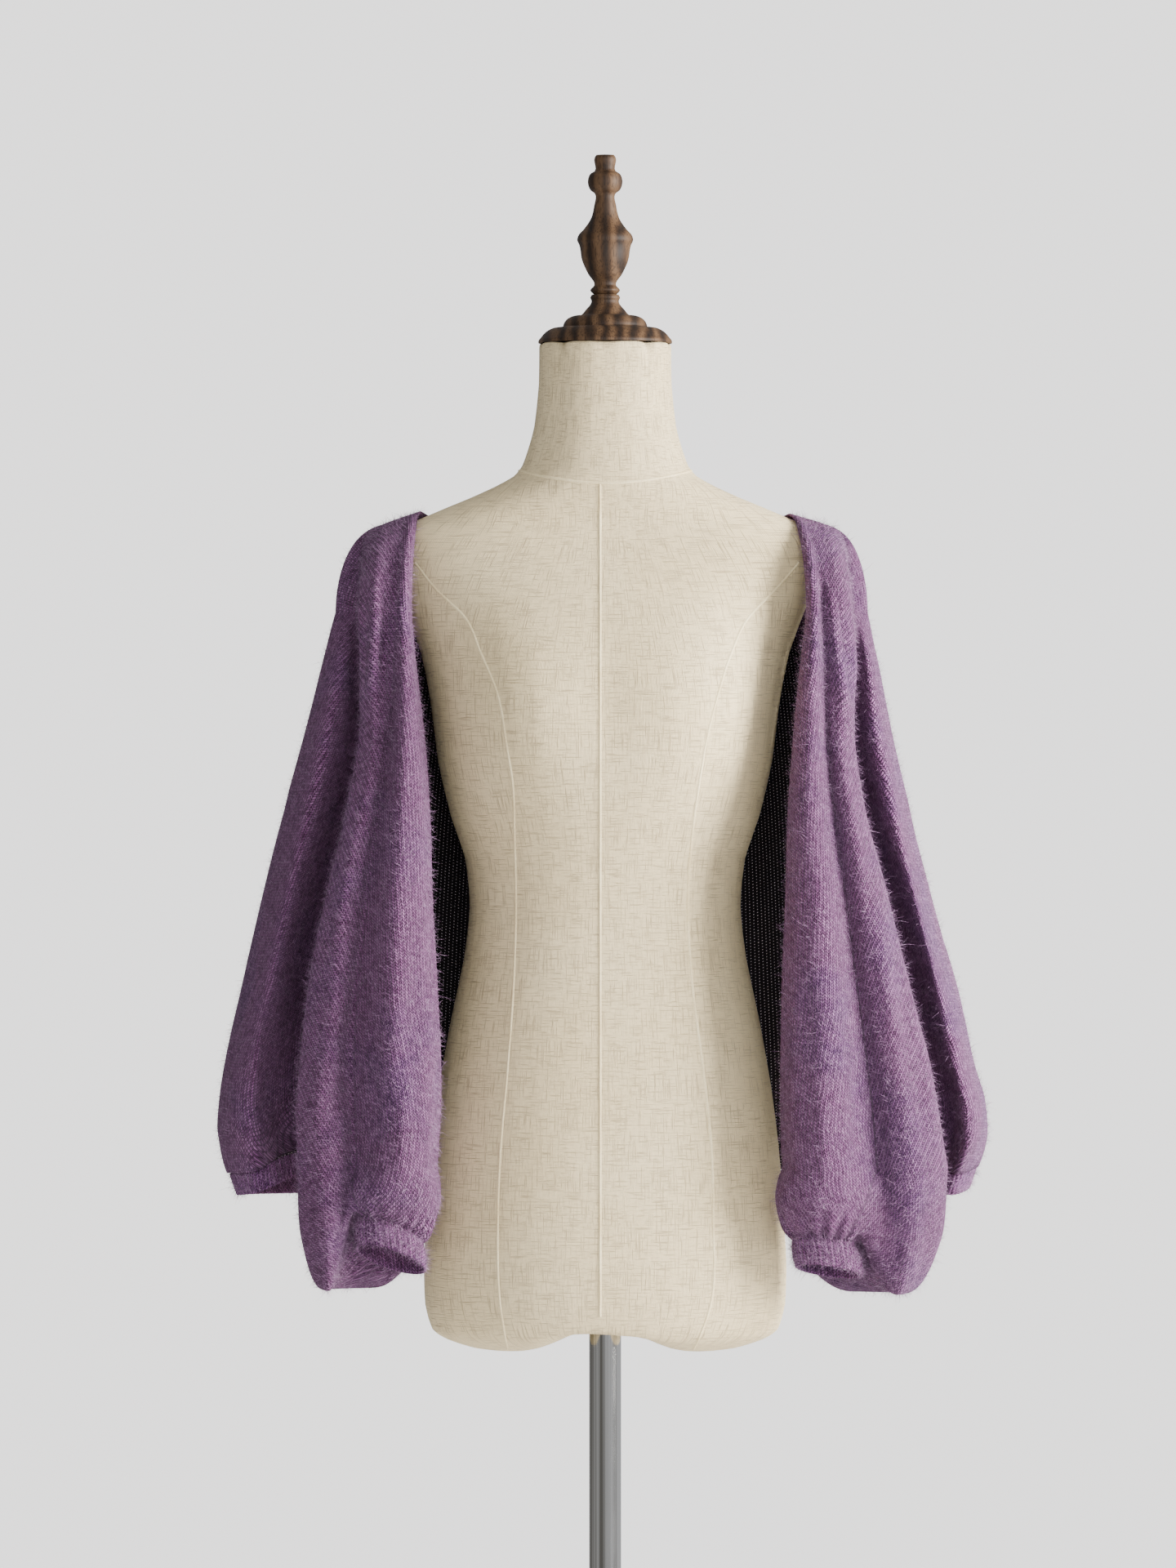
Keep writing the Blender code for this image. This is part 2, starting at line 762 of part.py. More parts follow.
def make_all():
    clear_scene()
    knit = material("purple knit", (0.16, 0.10, 0.17), 0.95)
    rib = material("purple rib", (0.14, 0.09, 0.16), 0.95)
    linen = material("linen", (0.66, 0.60, 0.52), 0.9)
    walnut = material("walnut", (0.16, 0.08, 0.04), 0.4)
    chrome = material("chrome", (0.8, 0.8, 0.8), 0.12, 1.0)
    steel = material("painted steel", (0.75, 0.75, 0.74), 0.4)
    make_turned("finial", FINIAL, TURNED_SIDES, walnut)
    make_turned("neck_cap", NECK_CAP, TURNED_SIDES, walnut)
    make_form(linen)
    make_back(knit)
    make_hem(rib)
    for side in ("left", "right"):
        make_sleeve(side, knit)
        make_cuff(side, rib)
    make_pole(chrome)
    make_collar(chrome)
    make_base(steel)


make_all()
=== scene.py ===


"""The looks of a knitted cocoon cardigan on a limbless dress form.

Metres, +Z up, the front faces -Y. Tables of the cloth are in millimetres, as "out"
from the middle to either side, depth along Y, and height.
"""

import math
import random
from functools import lru_cache

import bmesh
import bpy
import numpy as np
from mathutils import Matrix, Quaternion, Vector
from mathutils.bvhtree import BVHTree


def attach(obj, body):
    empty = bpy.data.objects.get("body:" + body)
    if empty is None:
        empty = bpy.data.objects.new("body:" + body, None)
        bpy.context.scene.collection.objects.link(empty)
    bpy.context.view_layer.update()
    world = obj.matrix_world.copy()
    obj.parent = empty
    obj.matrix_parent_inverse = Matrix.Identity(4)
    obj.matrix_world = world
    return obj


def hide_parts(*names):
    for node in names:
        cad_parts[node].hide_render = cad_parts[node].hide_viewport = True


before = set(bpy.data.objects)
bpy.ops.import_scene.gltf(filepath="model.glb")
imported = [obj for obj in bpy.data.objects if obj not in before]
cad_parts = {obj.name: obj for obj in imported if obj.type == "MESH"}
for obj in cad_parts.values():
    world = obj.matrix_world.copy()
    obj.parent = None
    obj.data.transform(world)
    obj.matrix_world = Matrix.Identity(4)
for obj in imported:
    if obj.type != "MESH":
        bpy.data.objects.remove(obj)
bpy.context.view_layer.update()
scene = bpy.context.scene

# The stand. A weighted round plate in white powder coat, a spun collar that hides the
# socket, and a polished chrome tube that carries the form.
POWDER_WHITE = (0.78, 0.78, 0.77)
CHROME_TINT = (0.45, 0.44, 0.42)
# Painted reflections: the dark and the bright colour of the chrome's streaks
CHROME_PAINTED_DARK_REFLECTION = (0.20, 0.19, 0.17)
CHROME_PAINTED_BRIGHT_REFLECTION = (0.85, 0.84, 0.83)
# Scale of the streaks along the tube: drawn lines in the relief, painted reflections in the colour
CHROME_STREAK_SCALE = 110.0
BRUSH_GRAIN = 900.0


def new_material(name, roughness, metallic=0.0):
    """A material with its node tree, its shader and a short way to add nodes."""
    made = bpy.data.materials.new(name)
    made.use_nodes = True
    tree = made.node_tree
    shader = tree.nodes["Principled BSDF"]
    shader.inputs["Roughness"].default_value = roughness
    shader.inputs["Metallic"].default_value = metallic
    return made, tree, shader


def add_node(tree, kind, links=None, **settings):
    """Adds a node, sets its properties, and links or sets its inputs."""
    node = tree.nodes.new(kind)
    for name, value in settings.items():
        setattr(node, name, value)
    for place, value in (links or {}).items():
        socket = node.inputs[place]
        if isinstance(value, bpy.types.NodeSocket):
            tree.links.new(value, socket)
        else:
            socket.default_value = value
    return node


def maths(tree, operation, first, second=0.0, third=0.0):
    """One step of arithmetic on sockets or numbers."""
    node = add_node(tree, "ShaderNodeMath", {0: first, 1: second, 2: third}, operation=operation)
    return node.outputs[0]


def colour_ramp(tree, factor, stops):
    """Colours at places from 0 to 1 along a factor."""
    ramp = add_node(tree, "ShaderNodeValToRGB", {0: factor})
    while len(ramp.color_ramp.elements) < len(stops):
        ramp.color_ramp.elements.new(0.5)
    for element, (place, colour) in zip(ramp.color_ramp.elements, stops):
        element.position = place
        element.color = (*colour, 1.0)
    return ramp.outputs[0]


def noise(tree, place, scale, detail=3.0, roughness=0.5):
    """A cloud of grey values round 0.5."""
    links = {"Vector": place, "Scale": scale, "Detail": detail, "Roughness": roughness}
    return add_node(tree, "ShaderNodeTexNoise", links).outputs[0]


def object_place(tree, scale=(1.0, 1.0, 1.0)):
    """The piece's own coordinates, stretched by a scale."""
    source = add_node(tree, "ShaderNodeTexCoord").outputs["Object"]
    return add_node(tree, "ShaderNodeMapping", {"Vector": source, "Scale": scale}).outputs[0]


def bump(tree, shader, height, distance, strength=1.0):
    links = {"Height": height, "Distance": distance, "Strength": strength}
    node = add_node(tree, "ShaderNodeBump", links)
    tree.links.new(node.outputs[0], shader.inputs["Normal"])


def paint_node(node, made):
    """Gives a carried-over solid its finish."""
    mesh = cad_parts[node].data
    mesh.materials.clear()
    mesh.materials.append(made)


def powder_coat():
    """White powder coat: fine orange peel, and a little grey where feet scuff its rim."""
    made, tree, shader = new_material("white powder coat", 0.42)
    place = object_place(tree)
    scuff = noise(tree, place, 14.0, 6.0, 0.7)
    stops = ((0.3, (0.60, 0.60, 0.59)), (0.5, POWDER_WHITE), (0.8, (0.82, 0.82, 0.81)))
    tree.links.new(colour_ramp(tree, scuff, stops), shader.inputs["Base Color"])
    bump(tree, shader, noise(tree, place, BRUSH_GRAIN, 2.0), 0.0002, 0.4)
    return made


def polished_chrome():
    """Chrome with faint drawn lines along the tube, coloured as painted dark and bright reflections,
    and a few dull patches.
    """
    made, tree, shader = new_material("polished chrome", 0.10, 1.0)
    drawn = noise(tree, object_place(tree, (1.0, 1.0, 0.002)), CHROME_STREAK_SCALE, 3.0, 0.7)
    dull = noise(tree, object_place(tree), 22.0, 4.0)
    tree.links.new(maths(tree, "MULTIPLY_ADD", dull, 0.10, 0.03), shader.inputs["Roughness"])
    # Painted reflections: the streaks are coloured dark and bright along the tube
    stops = ((0.40, CHROME_PAINTED_DARK_REFLECTION), (0.47, CHROME_TINT), (0.6, CHROME_PAINTED_BRIGHT_REFLECTION))
    tree.links.new(colour_ramp(tree, drawn, stops), shader.inputs["Base Color"])
    bump(tree, shader, drawn, 0.00003, 0.3)
    return made


chrome = polished_chrome()
paint_node("base_plate", powder_coat())
paint_node("base_collar", chrome)

# The form. A hard shell covered in undyed slubby linen, cut in panels: a seam down the
# middle of the front and back, curved princess seams, and a seam round the neck.
LINEN_CREAM = (0.79, 0.635, 0.36)
LINEN_LIGHT = (0.85, 0.70, 0.42)
LINEN_SLUB = (0.42, 0.31, 0.165)
SEAM_PALE = (0.90, 0.77, 0.47)
SEAM_SHADE = (0.70, 0.54, 0.28)
THREAD = 0.0009  # from one thread to the next
SEAM_WIDTH = 0.0030
SEAM_RISE = 0.0010
SEAM_SINK = 0.0002  # of a seam's edges into the linen
SEAM_ACROSS = 4
SEAM_LEAN = 1.3  # a seam runs a little aslant, so its linen is longer than it looks
MIDDLE_SEAM_OUT = -0.0045
NECK_SEAM_HEIGHT = 1.4445
NECK_SEAM_DIP = 0.0065
FORM_GIRTH_RADIUS = 0.125  # turns the angle round the form into a length of linen
PRINCESS = (
    # height, out on the left, out on the right, in millimetres
    (706, 81, 72),
    (752, 88, 88),
    (822, 90, 90),
    (876, 88, 89),
    (946, 82, 82),
    (1016, 77, 73),
    (1087, 75, 69),
    (1139, 76, 72),
    (1192, 78, 79),
    (1216, 82, 83),
    (1261, 90, 94),
    (1295, 104, 105),
    (1327, 119, 121),
    (1348, 141, 142),
    (1372, 160, 163),
)
FORM_ROUNDS = 2


def curve_through(keys, points):
    """A smooth curve that passes each point at its key."""
    keys = np.array(keys, float)
    points = np.array(points, float)
    slopes = np.gradient(points, keys, axis=0)

    def at(key):
        key = min(max(key, keys[0]), keys[-1])
        step = min(int(np.searchsorted(keys, key, side="right")) - 1, len(keys) - 2)
        width = keys[step + 1] - keys[step]
        t = (key - keys[step]) / width
        start = (1 + 2 * t) * (1 - t) ** 2 * points[step]
        leave = t * (1 - t) ** 2 * width * slopes[step]
        end = t * t * (3 - 2 * t) * points[step + 1]
        arrive = t * t * (t - 1) * width * slopes[step + 1]
        return start + leave + end + arrive

    return at


def table_curve(rows):
    """A table read by its first column."""
    return curve_through([row[0] for row in rows], [row[1:] for row in rows])


def welded_copy(node):
    """A welded copy of a solid's mesh, to be made finer."""
    bm = bmesh.new()
    bm.from_mesh(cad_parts[node].data)
    bmesh.ops.remove_doubles(bm, verts=bm.verts, dist=0.00002)
    return bm


def link_mesh(bm, name, materials):
    """Turns a bmesh into a named, smooth object."""
    mesh = bpy.data.meshes.new(name)
    bm.to_mesh(mesh)
    bm.free()
    mesh.shade_smooth()
    for made in materials:
        mesh.materials.append(made)
    piece = bpy.data.objects.new(name, mesh)
    scene.collection.objects.link(piece)
    return piece


def blend(tree, factor, first, second, blend_type="MIX"):
    """Mixes two colours, each a socket or a triple."""
    node = add_node(tree, "ShaderNodeMix", {0: factor}, data_type="RGBA", blend_type=blend_type)
    for place, value in ((6, first), (7, second)):
        if isinstance(value, tuple):
            node.inputs[place].default_value = (*value, 1.0)
        else:
            tree.links.new(value, node.inputs[place])
    return node.outputs[2]


def cloth_place(tree):
    """The place in the cloth's own lengths, whole and cut into across and down."""
    place = add_node(tree, "ShaderNodeUVMap", uv_map="cloth").outputs[0]
    cut = add_node(tree, "ShaderNodeSeparateXYZ", {0: place})
    return place, cut.outputs[0], cut.outputs[1]


def held_in(tree, value):
    """A value kept between 0 and 1."""
    return maths(tree, "MINIMUM", maths(tree, "MAXIMUM", value, 0.0), 1.0)


def linen():
    """Undyed linen: crossing threads, thick and thin, with tan slubs that run along them, and painted
    shade between the threads.
    """
    made, tree, shader = new_material("slubby linen", 0.86)
    shader.inputs["Sheen Weight"].default_value = 0.08
    shader.inputs["Sheen Roughness"].default_value = 0.5
    place, across, down = cloth_place(tree)
    heights = []
    slubs = []
    for counted, stretch in ((down, (45.0, 1050.0, 1.0)), (across, (1050.0, 38.0, 1.0))):
        moved = add_node(tree, "ShaderNodeMapping", {"Vector": place, "Scale": stretch}).outputs[0]
        uneven = noise(tree, moved, 1.0, 2.0, 0.6)
        slubs.append(maths(tree, "SUBTRACT", uneven, 0.56))
        turns = maths(tree, "MULTIPLY", counted, math.pi / THREAD)
        round_thread = maths(tree, "ABSOLUTE", maths(tree, "SINE", turns))
        heights.append(maths(tree, "MULTIPLY", round_thread, maths(tree, "ADD", uneven, 0.35)))
    slub = maths(tree, "MAXIMUM", slubs[0], slubs[1])
    slub = held_in(tree, maths(tree, "MULTIPLY", slub, 9.0))
    height = maths(tree, "MAXIMUM", heights[0], heights[1])
    cloud = noise(tree, place, 9.0, 3.0)
    base = colour_ramp(tree, cloud, ((0.3, LINEN_CREAM), (0.75, LINEN_LIGHT)))
    slubby = blend(tree, maths(tree, "MULTIPLY", slub, 0.6), base, LINEN_SLUB)
    # Painted shade between the threads and a painted highlight on their tops, laid over the linen's
    # colour
    shade = colour_ramp(tree, height, ((0.1, (0.74, 0.73, 0.70)), (0.75, (1.07, 1.07, 1.07))))
    tree.links.new(blend(tree, 1.0, slubby, shade, "MULTIPLY"), shader.inputs["Base Color"])
    bump(tree, shader, maths(tree, "ADD", height, slub), 0.0004, 0.9)
    return made


def fine_form():
    """The shell, smooth, with its linen mapped round it by angle and height."""
    bm = welded_copy("form_torso")
    bmesh.ops.join_triangles(bm, faces=bm.faces, angle_face_threshold=0.7, angle_shape_threshold=0.7)
    for _round in range(FORM_ROUNDS):
        bmesh.ops.subdivide_edges(bm, edges=bm.edges, cuts=1, use_grid_fill=True, smooth=0.0)
        every_way = {"use_axis_x": True, "use_axis_y": True, "use_axis_z": True}
        bmesh.ops.smooth_vert(bm, verts=bm.verts, factor=0.5, **every_way)
    uv = bm.loops.layers.uv.new("cloth")
    for face in bm.faces:
        middle = face.calc_center_median()
        turn = math.atan2(middle.x, -middle.y)
        for loop in face.loops:
            x, y, z = loop.vert.co
            angle = math.atan2(x, -y)
            angle += 2 * math.pi * round((turn - angle) / (2 * math.pi))
            loop[uv].uv = (angle * FORM_GIRTH_RADIUS, z)
    return bm


def strip_on(tree, rays, width, rise, bm):
    """Lays a narrow raised strip along the places where rays meet a surface."""
    spots = []
    for start, direction in rays:
        spot, normal, _index, _away = tree.ray_cast(start, direction)
        if spot is not None:
            spots.append((spot, normal))
    made = bmesh.ops.create_grid(bm, x_segments=len(spots) - 1, y_segments=SEAM_ACROSS, size=0.5)
    uv = bm.loops.layers.uv.verify()
    for vert in made["verts"]:
        column = round((vert.co.x + 0.5) * (len(spots) - 1))
        share = vert.co.y
        spot, normal = spots[column]
        before = spots[max(column - 1, 0)][0]
        after = spots[min(column + 1, len(spots) - 1)][0]
        side = normal.cross(after - before).normalized()
        lift = rise * (math.cos(share * 2 * math.pi) + 1) / 2 - SEAM_SINK
        vert.co = spot + side * share * width + normal * lift
    for face in {face for vert in made["verts"] for face in vert.link_faces}:
        for loop in face.loops:
            loop[uv].uv = (loop.vert.co.x * SEAM_LEAN, loop.vert.co.z)


def seam_linen():
    """Two folded edges of linen sewn together: paler, closer and a little shiny from wear."""
    made, tree, shader = new_material("seam linen", 0.7)
    place = object_place(tree)
    stitches = noise(tree, place, 900.0, 2.0)
    drift = noise(tree, place, 30.0, 2.0)
    tone = maths(tree, "MULTIPLY_ADD", stitches, 0.4, maths(tree, "MULTIPLY", drift, 0.6))
    worn = colour_ramp(tree, tone, ((0.35, SEAM_SHADE), (0.6, SEAM_PALE)))
    tree.links.new(worn, shader.inputs["Base Color"])
    bump(tree, shader, stitches, 0.0003, 0.6)
    return made


form_mesh = fine_form()
form_surface = BVHTree.FromBMesh(form_mesh, epsilon=0.0)
form = link_mesh(form_mesh, "form", [linen()])
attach(form, "root")
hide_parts("form_torso")

SEAM_STEPS = 150
NECK_STEPS = 96
FOOT_HEIGHT = 0.712
CROTCH_HEIGHT = 0.742


def seam_heights(low, high):
    """The heights of a seam's points, from its foot up."""
    return [low + (high - low) * step / SEAM_STEPS for step in range(SEAM_STEPS + 1)]


princess_at = table_curve([tuple(value * 0.001 for value in row) for row in PRINCESS])
seams = bmesh.new()
seams.loops.layers.uv.new("cloth")
for facing in (-1.0, 1.0):
    inward = Vector((0.0, -facing, 0.0))
    heights = seam_heights(FOOT_HEIGHT, PRINCESS[-1][0] * 0.001)
    for place, sign in enumerate((-1.0, 1.0)):
        rays = [(Vector((sign * princess_at(z)[place], facing, z)), inward) for z in heights]
        strip_on(form_surface, rays, SEAM_WIDTH, SEAM_RISE, seams)
    heights = seam_heights(CROTCH_HEIGHT, NECK_SEAM_HEIGHT - NECK_SEAM_DIP)
    rays = [(Vector((MIDDLE_SEAM_OUT, facing, z)), inward) for z in heights]
    strip_on(form_surface, rays, SEAM_WIDTH, SEAM_RISE, seams)
rays = []
for step in range(NECK_STEPS + 1):
    angle = 2 * math.pi * step / NECK_STEPS
    outward = Vector((math.cos(angle), math.sin(angle), 0.0))
    z = NECK_SEAM_HEIGHT + NECK_SEAM_DIP * (2 * abs(outward.x) ** 2 - 1)
    rays.append((outward + Vector((0.0, 0.0, z)), -outward))
strip_on(form_surface, rays, SEAM_WIDTH, SEAM_RISE, seams)
form_seams = link_mesh(seams, "form_seams", [seam_linen()])
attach(form_seams, "root")

# The cap and the finial. Walnut turned on a lathe, oiled and worn pale on its edges.
WALNUT_DEEP = (0.014, 0.007, 0.0035)
WALNUT_MID = (0.044, 0.022, 0.010)
WALNUT_PALE = (0.095, 0.052, 0.025)
TURNED_STEPS = 72
PROFILE_STEPS = 5


def walnut():
    """Oiled walnut: rings along the grain, dark pores, and paler wood where edges wear."""
    made, tree, shader = new_material("turned walnut", 0.62)
    shader.inputs["Specular IOR Level"].default_value = 0.22
    shader.inputs["Coat Weight"].default_value = 0.03
    shader.inputs["Coat Roughness"].default_value = 0.4
    place = object_place(tree, (1.0, 1.0, 0.16))
    drift = noise(tree, object_place(tree), 14.0, 3.0)
    links = {"Vector": place, "Scale": 26.0, "Distortion": 5.0, "Detail": 3.0}
    rings = add_node(tree, "ShaderNodeTexWave", links)
    pores = noise(tree, object_place(tree, (1.0, 1.0, 0.06)), 900.0, 2.0)
    grain = maths(tree, "MULTIPLY_ADD", rings.outputs["Fac"], 0.6, maths(tree, "MULTIPLY", drift, 0.5))
    stops = ((0.22, WALNUT_DEEP), (0.5, WALNUT_MID), (0.8, WALNUT_PALE))
    wood = colour_ramp(tree, grain, stops)
    dark = colour_ramp(tree, pores, ((0.36, (0.45, 0.42, 0.40)), (0.5, (1.0, 1.0, 1.0))))
    grained = blend(tree, 1.0, wood, dark, "MULTIPLY")
    edge = add_node(tree, "ShaderNodeNewGeometry").outputs["Pointiness"]
    worn = colour_ramp(tree, edge, ((0.50, (0.0, 0.0, 0.0)), (0.57, (1.0, 1.0, 1.0))))
    worn = maths(tree, "MULTIPLY", worn, 0.16)
    tree.links.new(blend(tree, worn, grained, WALNUT_PALE), shader.inputs["Base Color"])
    bump(tree, shader, pores, 0.00012, 0.5)
    return made


def turned_from(node, name, sides, made_of, smooth=True):
    """Turns a lathe piece again with more steps, from the profile of its solid."""
    found = {}
    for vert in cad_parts[node].data.vertices:
        if abs(vert.co.y) < 0.00001 and vert.co.x > 0.0001:
            found[round(vert.co.z, 6)] = vert.co.x
    rows = sorted(found.items(), reverse=True)
    lengths = [0.0]
    for first, second in zip(rows, rows[1:]):
        lengths.append(lengths[-1] + math.dist(first, second))
    profile = [(radius, z) for z, radius in rows]
    if smooth:
        at = curve_through(lengths, profile)
        count = PROFILE_STEPS * (len(rows) - 1)
        places = np.interp(np.linspace(0, len(rows) - 1, count + 1), range(len(rows)), lengths)
        profile = [tuple(at(place)) for place in places]
    profile = [(0.0, rows[0][0])] + profile + [(0.0, rows[-1][0])]
    bm = bmesh.new()
    points = [bm.verts.new((radius, 0.0, z)) for radius, z in profile]
    edges = [bm.edges.new(pair) for pair in zip(points, points[1:])]
    bmesh.ops.spin(
        bm,
        geom=points + edges,
        cent=(0.0, 0.0, 0.0),
        axis=(0.0, 0.0, 1.0),
        angle=2 * math.pi,
        steps=sides,
        use_merge=True,
    )
    bmesh.ops.remove_doubles(bm, verts=bm.verts, dist=0.00001)
    bmesh.ops.recalc_face_normals(bm, faces=bm.faces)
    piece = link_mesh(bm, name, [made_of])
    piece.data.set_sharp_from_angle(angle=math.radians(40))
    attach(piece, "root")
    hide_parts(node)


walnut_oiled = walnut()
turned_from("finial", "finial_turned", TURNED_STEPS, walnut_oiled)
turned_from("neck_cap", "neck_cap_turned", TURNED_STEPS, walnut_oiled)
turned_from("pole", "pole_tube", TURNED_STEPS, chrome, smooth=False)

# The back panel. One wide panel of stockinette in fuzzy heather yarn, sewn to the sleeves
# along the shoulders and armholes. It wraps both sides, and its folds fall as it hangs.
MM = 0.001
CLOTH = 1.8  # wall of the knitted fabric
SHOULDER_GAP = 0.7  # between the middles of two edges that lean towards each other
YOKE_ROWS = 5
BODY_ROWS = 14
BACK_ROWS = 13
YOKE_END = 1331.0  # the first level section under the shoulder line
FOLD_START = 0.55  # share of the shoulder seam after which it turns into a fold
FOLD_RUN = 0.25

# The front of each side, from the photograph: height, then how far out the sleeve's free
# edge, the crease between its two lobes, the outer lobe's edge and the whole outline lie
FRONT = {
    "left": (
        # height, edge, crease, lobe, outline
        (838, 142, 208, 252, 308),
        (848, 142, 208, 253, 315),
        (882, 140, 208, 254, 326),
        (917, 138, 209, 255, 326),
        (951, 138, 210, 252, 321),
        (1020, 141, 206, 245, 306),
        (1089, 145, 198, 232, 290),
        (1158, 147, 189, 216, 273),
        (1227, 152, 180, 204, 254),
        (1296, 160, 175, 204, 236),
        (1331, 163, 174, 206, 227),
        (1365, 164, 172, 208, 217),
    ),
    "right": (
        # height, edge, crease, lobe, outline
        (838, 150, 230, 284, 302),
        (848, 150, 229, 284, 308),
        (882, 148, 226, 279, 322),
        (917, 147, 223, 273, 321),
        (951, 147, 219, 267, 311),
        (1020, 148, 210, 251, 295),
        (1089, 151, 201, 234, 277),
        (1158, 153, 192, 217, 259),
        (1227, 158, 185, 206, 242),
        (1296, 165, 181, 209, 228),
        (1331, 169, 180, 207, 221),
        (1365, 170, 177, 206, 213),
    ),
}

# Depths of the sleeve's section
SLEEVE_DEPTHS = (
    # height, edge, front lobe, crease, second lobe, its turn, wall behind, seam
    (838, -88, -118, -96, -104, -80, -52, -68),
    (882, -92, -124, -97, -108, -80, -53, -65),
    (951, -92, -124, -97, -107, -78, -54, -60),
    (1020, -90, -121, -95, -104, -76, -55, -54),
    (1089, -86, -116, -92, -101, -74, -54, -50),
    (1158, -82, -109, -87, -96, -70, -52, -47),
    (1227, -76, -100, -81, -88, -65, -50, -43),
    (1296, -72, -88, -77, -79, -60, -47, -34),
    (1331, -67, -79, -73, -75, -54, -39, -24),
)

# Where the armhole seam runs
SEAM_OUT = (
    # height, out
    (838, 152),
    (882, 152),
    (951, 153),
    (1020, 155),
    (1089, 158),
    (1158, 163),
    (1193, 168),
    (1227, 176),
    (1262, 187),
    (1296, 197),
    (1331, 204),
    (1365, 205),
)

# Depths of the back panel's section
BACK_DEPTHS = (
    # height, behind the sleeve, valley, outer lobe, outline, rear corner, back
    (838, -36, -24, -32, 4, 98, 125),
    (882, -36, -8, -53, 12, 110, 127),
    (951, -37, -4, -64, 12, 114, 125),
    (1020, -38, -6, -64, 10, 112, 122),
    (1089, -37, -10, -63, 8, 108, 119),
    (1158, -36, -16, -60, 6, 103, 117),
    (1227, -34, -24, -54, 4, 96, 114),
    (1296, -29, -25, -31, 2, 86, 109),
    (1331, -20, -16, -9, 3, 78, 102),
)

# The seam over each shoulder, from the neck side outwards and down in front
SHOULDER = {
    "left": (
        # share of the way, out, depth, height
        (0.00, 156, 0, 1416.0),
        (0.25, 171, 0, 1411.0),
        (0.50, 186, 0, 1405.5),
        (0.72, 200, -1, 1398.5),
        (0.82, 203, -4, 1391.0),
        (0.91, 205, -8, 1380.0),
        (1.00, 205, -13, 1365.0),
    ),
    "right": (
        # share of the way, out, depth, height
        (0.00, 156, 0, 1414.0),
        (0.25, 168, 0, 1410.5),
        (0.50, 184, 0, 1405.5),
        (0.72, 198, -1, 1398.5),
        (0.82, 202, -4, 1391.0),
        (0.91, 204, -8, 1380.0),
        (1.00, 204, -13, 1365.0),
    ),
}

# The back's neckline from a shoulder to the middle: out, depth, height
NECKLINE = ((142.0, 45.0, 1409.0), (100.0, 80.0, 1392.0), (0.0, 98.0, 1376.0))
NECKLINE_STATIONS = (0.73, 0.80, 0.88, 1.0)

# Heights of the back panel's lower edge, at the stations of its half section
FOOT = {
    "left": (880, 880, 878, 861, 857, 855, 854, 853, 853),
    "right": (870, 868, 862, 858, 864, 860, 856, 854, 853),
}


def ease(t):
    t = min(max(t, 0.0), 1.0)
    return t * t * (3 - 2 * t)


def mix(a, b, t):
    return a + (b - a) * t


def bezier(start, leave, arrive, end, t):
    s = 1 - t
    return s**3 * start + 3 * s * s * t * leave + 3 * s * t * t * arrive + t**3 * end


front_of = {side: table_curve(rows) for side, rows in FRONT.items()}
sleeve_depths_at = table_curve(SLEEVE_DEPTHS)
seam_out_at = table_curve(SEAM_OUT)
back_depths_at = table_curve(BACK_DEPTHS)
shoulder_at = {side: table_curve(rows) for side, rows in SHOULDER.items()}
# Places along half of the back's section, from the armhole seam to the middle of the back
BACK_STATIONS = (0.0, 0.10, 0.19, 0.31, 0.43, 0.58, 0.73, 0.87, 1.0)
BACK_SHOULDER = (1.0, 0.94, 0.88, 0.80, 0.68, 0.38, 0.0)


def side_sign(side):
    return -1.0 if side == "left" else 1.0


def seam_offset(share):
    """Half the space between the middles of two walls at a share of the way down the seam.

    On the shoulder sleeve and back lie edge to edge, further down they lie face to face.
    """
    return SHOULDER_GAP / 2 + CLOTH / 2 * ease((share - FOLD_START) / FOLD_RUN)


def over_shoulder(top, low, level, t):
    """A way over the shoulder. With level 1 it leaves the seam level and arrives upright."""
    across = low - top
    level_leave = 0.55 * np.array((across[0], across[1], -0.4 * abs(across[0])))
    upright = np.array((0.0, 0.0, -0.5 * across[2]))
    leave = top + mix(across / 3, level_leave, level)
    arrive = low + mix(-across / 3, upright, level)
    return bezier(top, leave, arrive, low, t)


@lru_cache(maxsize=None)
def back_section(side, height):
    """Half of the back panel's level section, from the armhole seam to the middle."""
    _edge, _crease, lobe, outline = front_of[side](height)
    y_behind, y_valley, y_outer, y_outline, y_rear, y_back = back_depths_at(height)
    y_seam = sleeve_depths_at(height)[-1]
    seam = seam_out_at(height)[0]
    first = (seam, y_seam + seam_offset(1.0))
    merged = ease((height - 1296.0) / (YOKE_END - 1296.0))
    valley = mix(min(lobe + 3.0, mix(seam, outline, 0.75)), mix(seam, outline, 0.35), merged)
    points = (
        first,
        (mix(seam, valley, 0.48), y_behind),
        (valley, y_valley),
        (mix(valley, outline, 0.58), y_outer),
        (outline, y_outline),
        (0.91 * outline, 0.66 * y_rear),
        (0.70 * outline, y_rear),
        (0.36 * outline, y_back - 2.0),
        (0.0, y_back),
    )
    return curve_through(BACK_STATIONS, points)


def back_top(side, q):
    """The back panel's upper edge: up the shoulder seam, then the neckline."""
    share = back_on_shoulder(q)
    if q <= NECKLINE_STATIONS[0]:
        point = shoulder_at[side](share)
    else:
        point = curve_through(NECKLINE_STATIONS, (shoulder_at[side](0.0), *NECKLINE))(q)
    return point + (0.0, seam_offset(share), 0.0)


back_on_shoulder = curve_through(BACK_STATIONS[:7], BACK_SHOULDER)


def back_foot(side):
    """The height of the back panel's lower edge round its half section."""
    return curve_through(BACK_STATIONS, [(height,) for height in FOOT[side]])


def flute(side, q, height):
    """Soft folds that fall from the shoulders down the back."""
    across = ease((q - 0.58) / 0.15)
    down = ease((1330.0 - height) / 350.0)
    phase = 1.0 if side == "left" else 1.3
    return 4.5 * across * down * math.sin(q * 30.0 * phase)


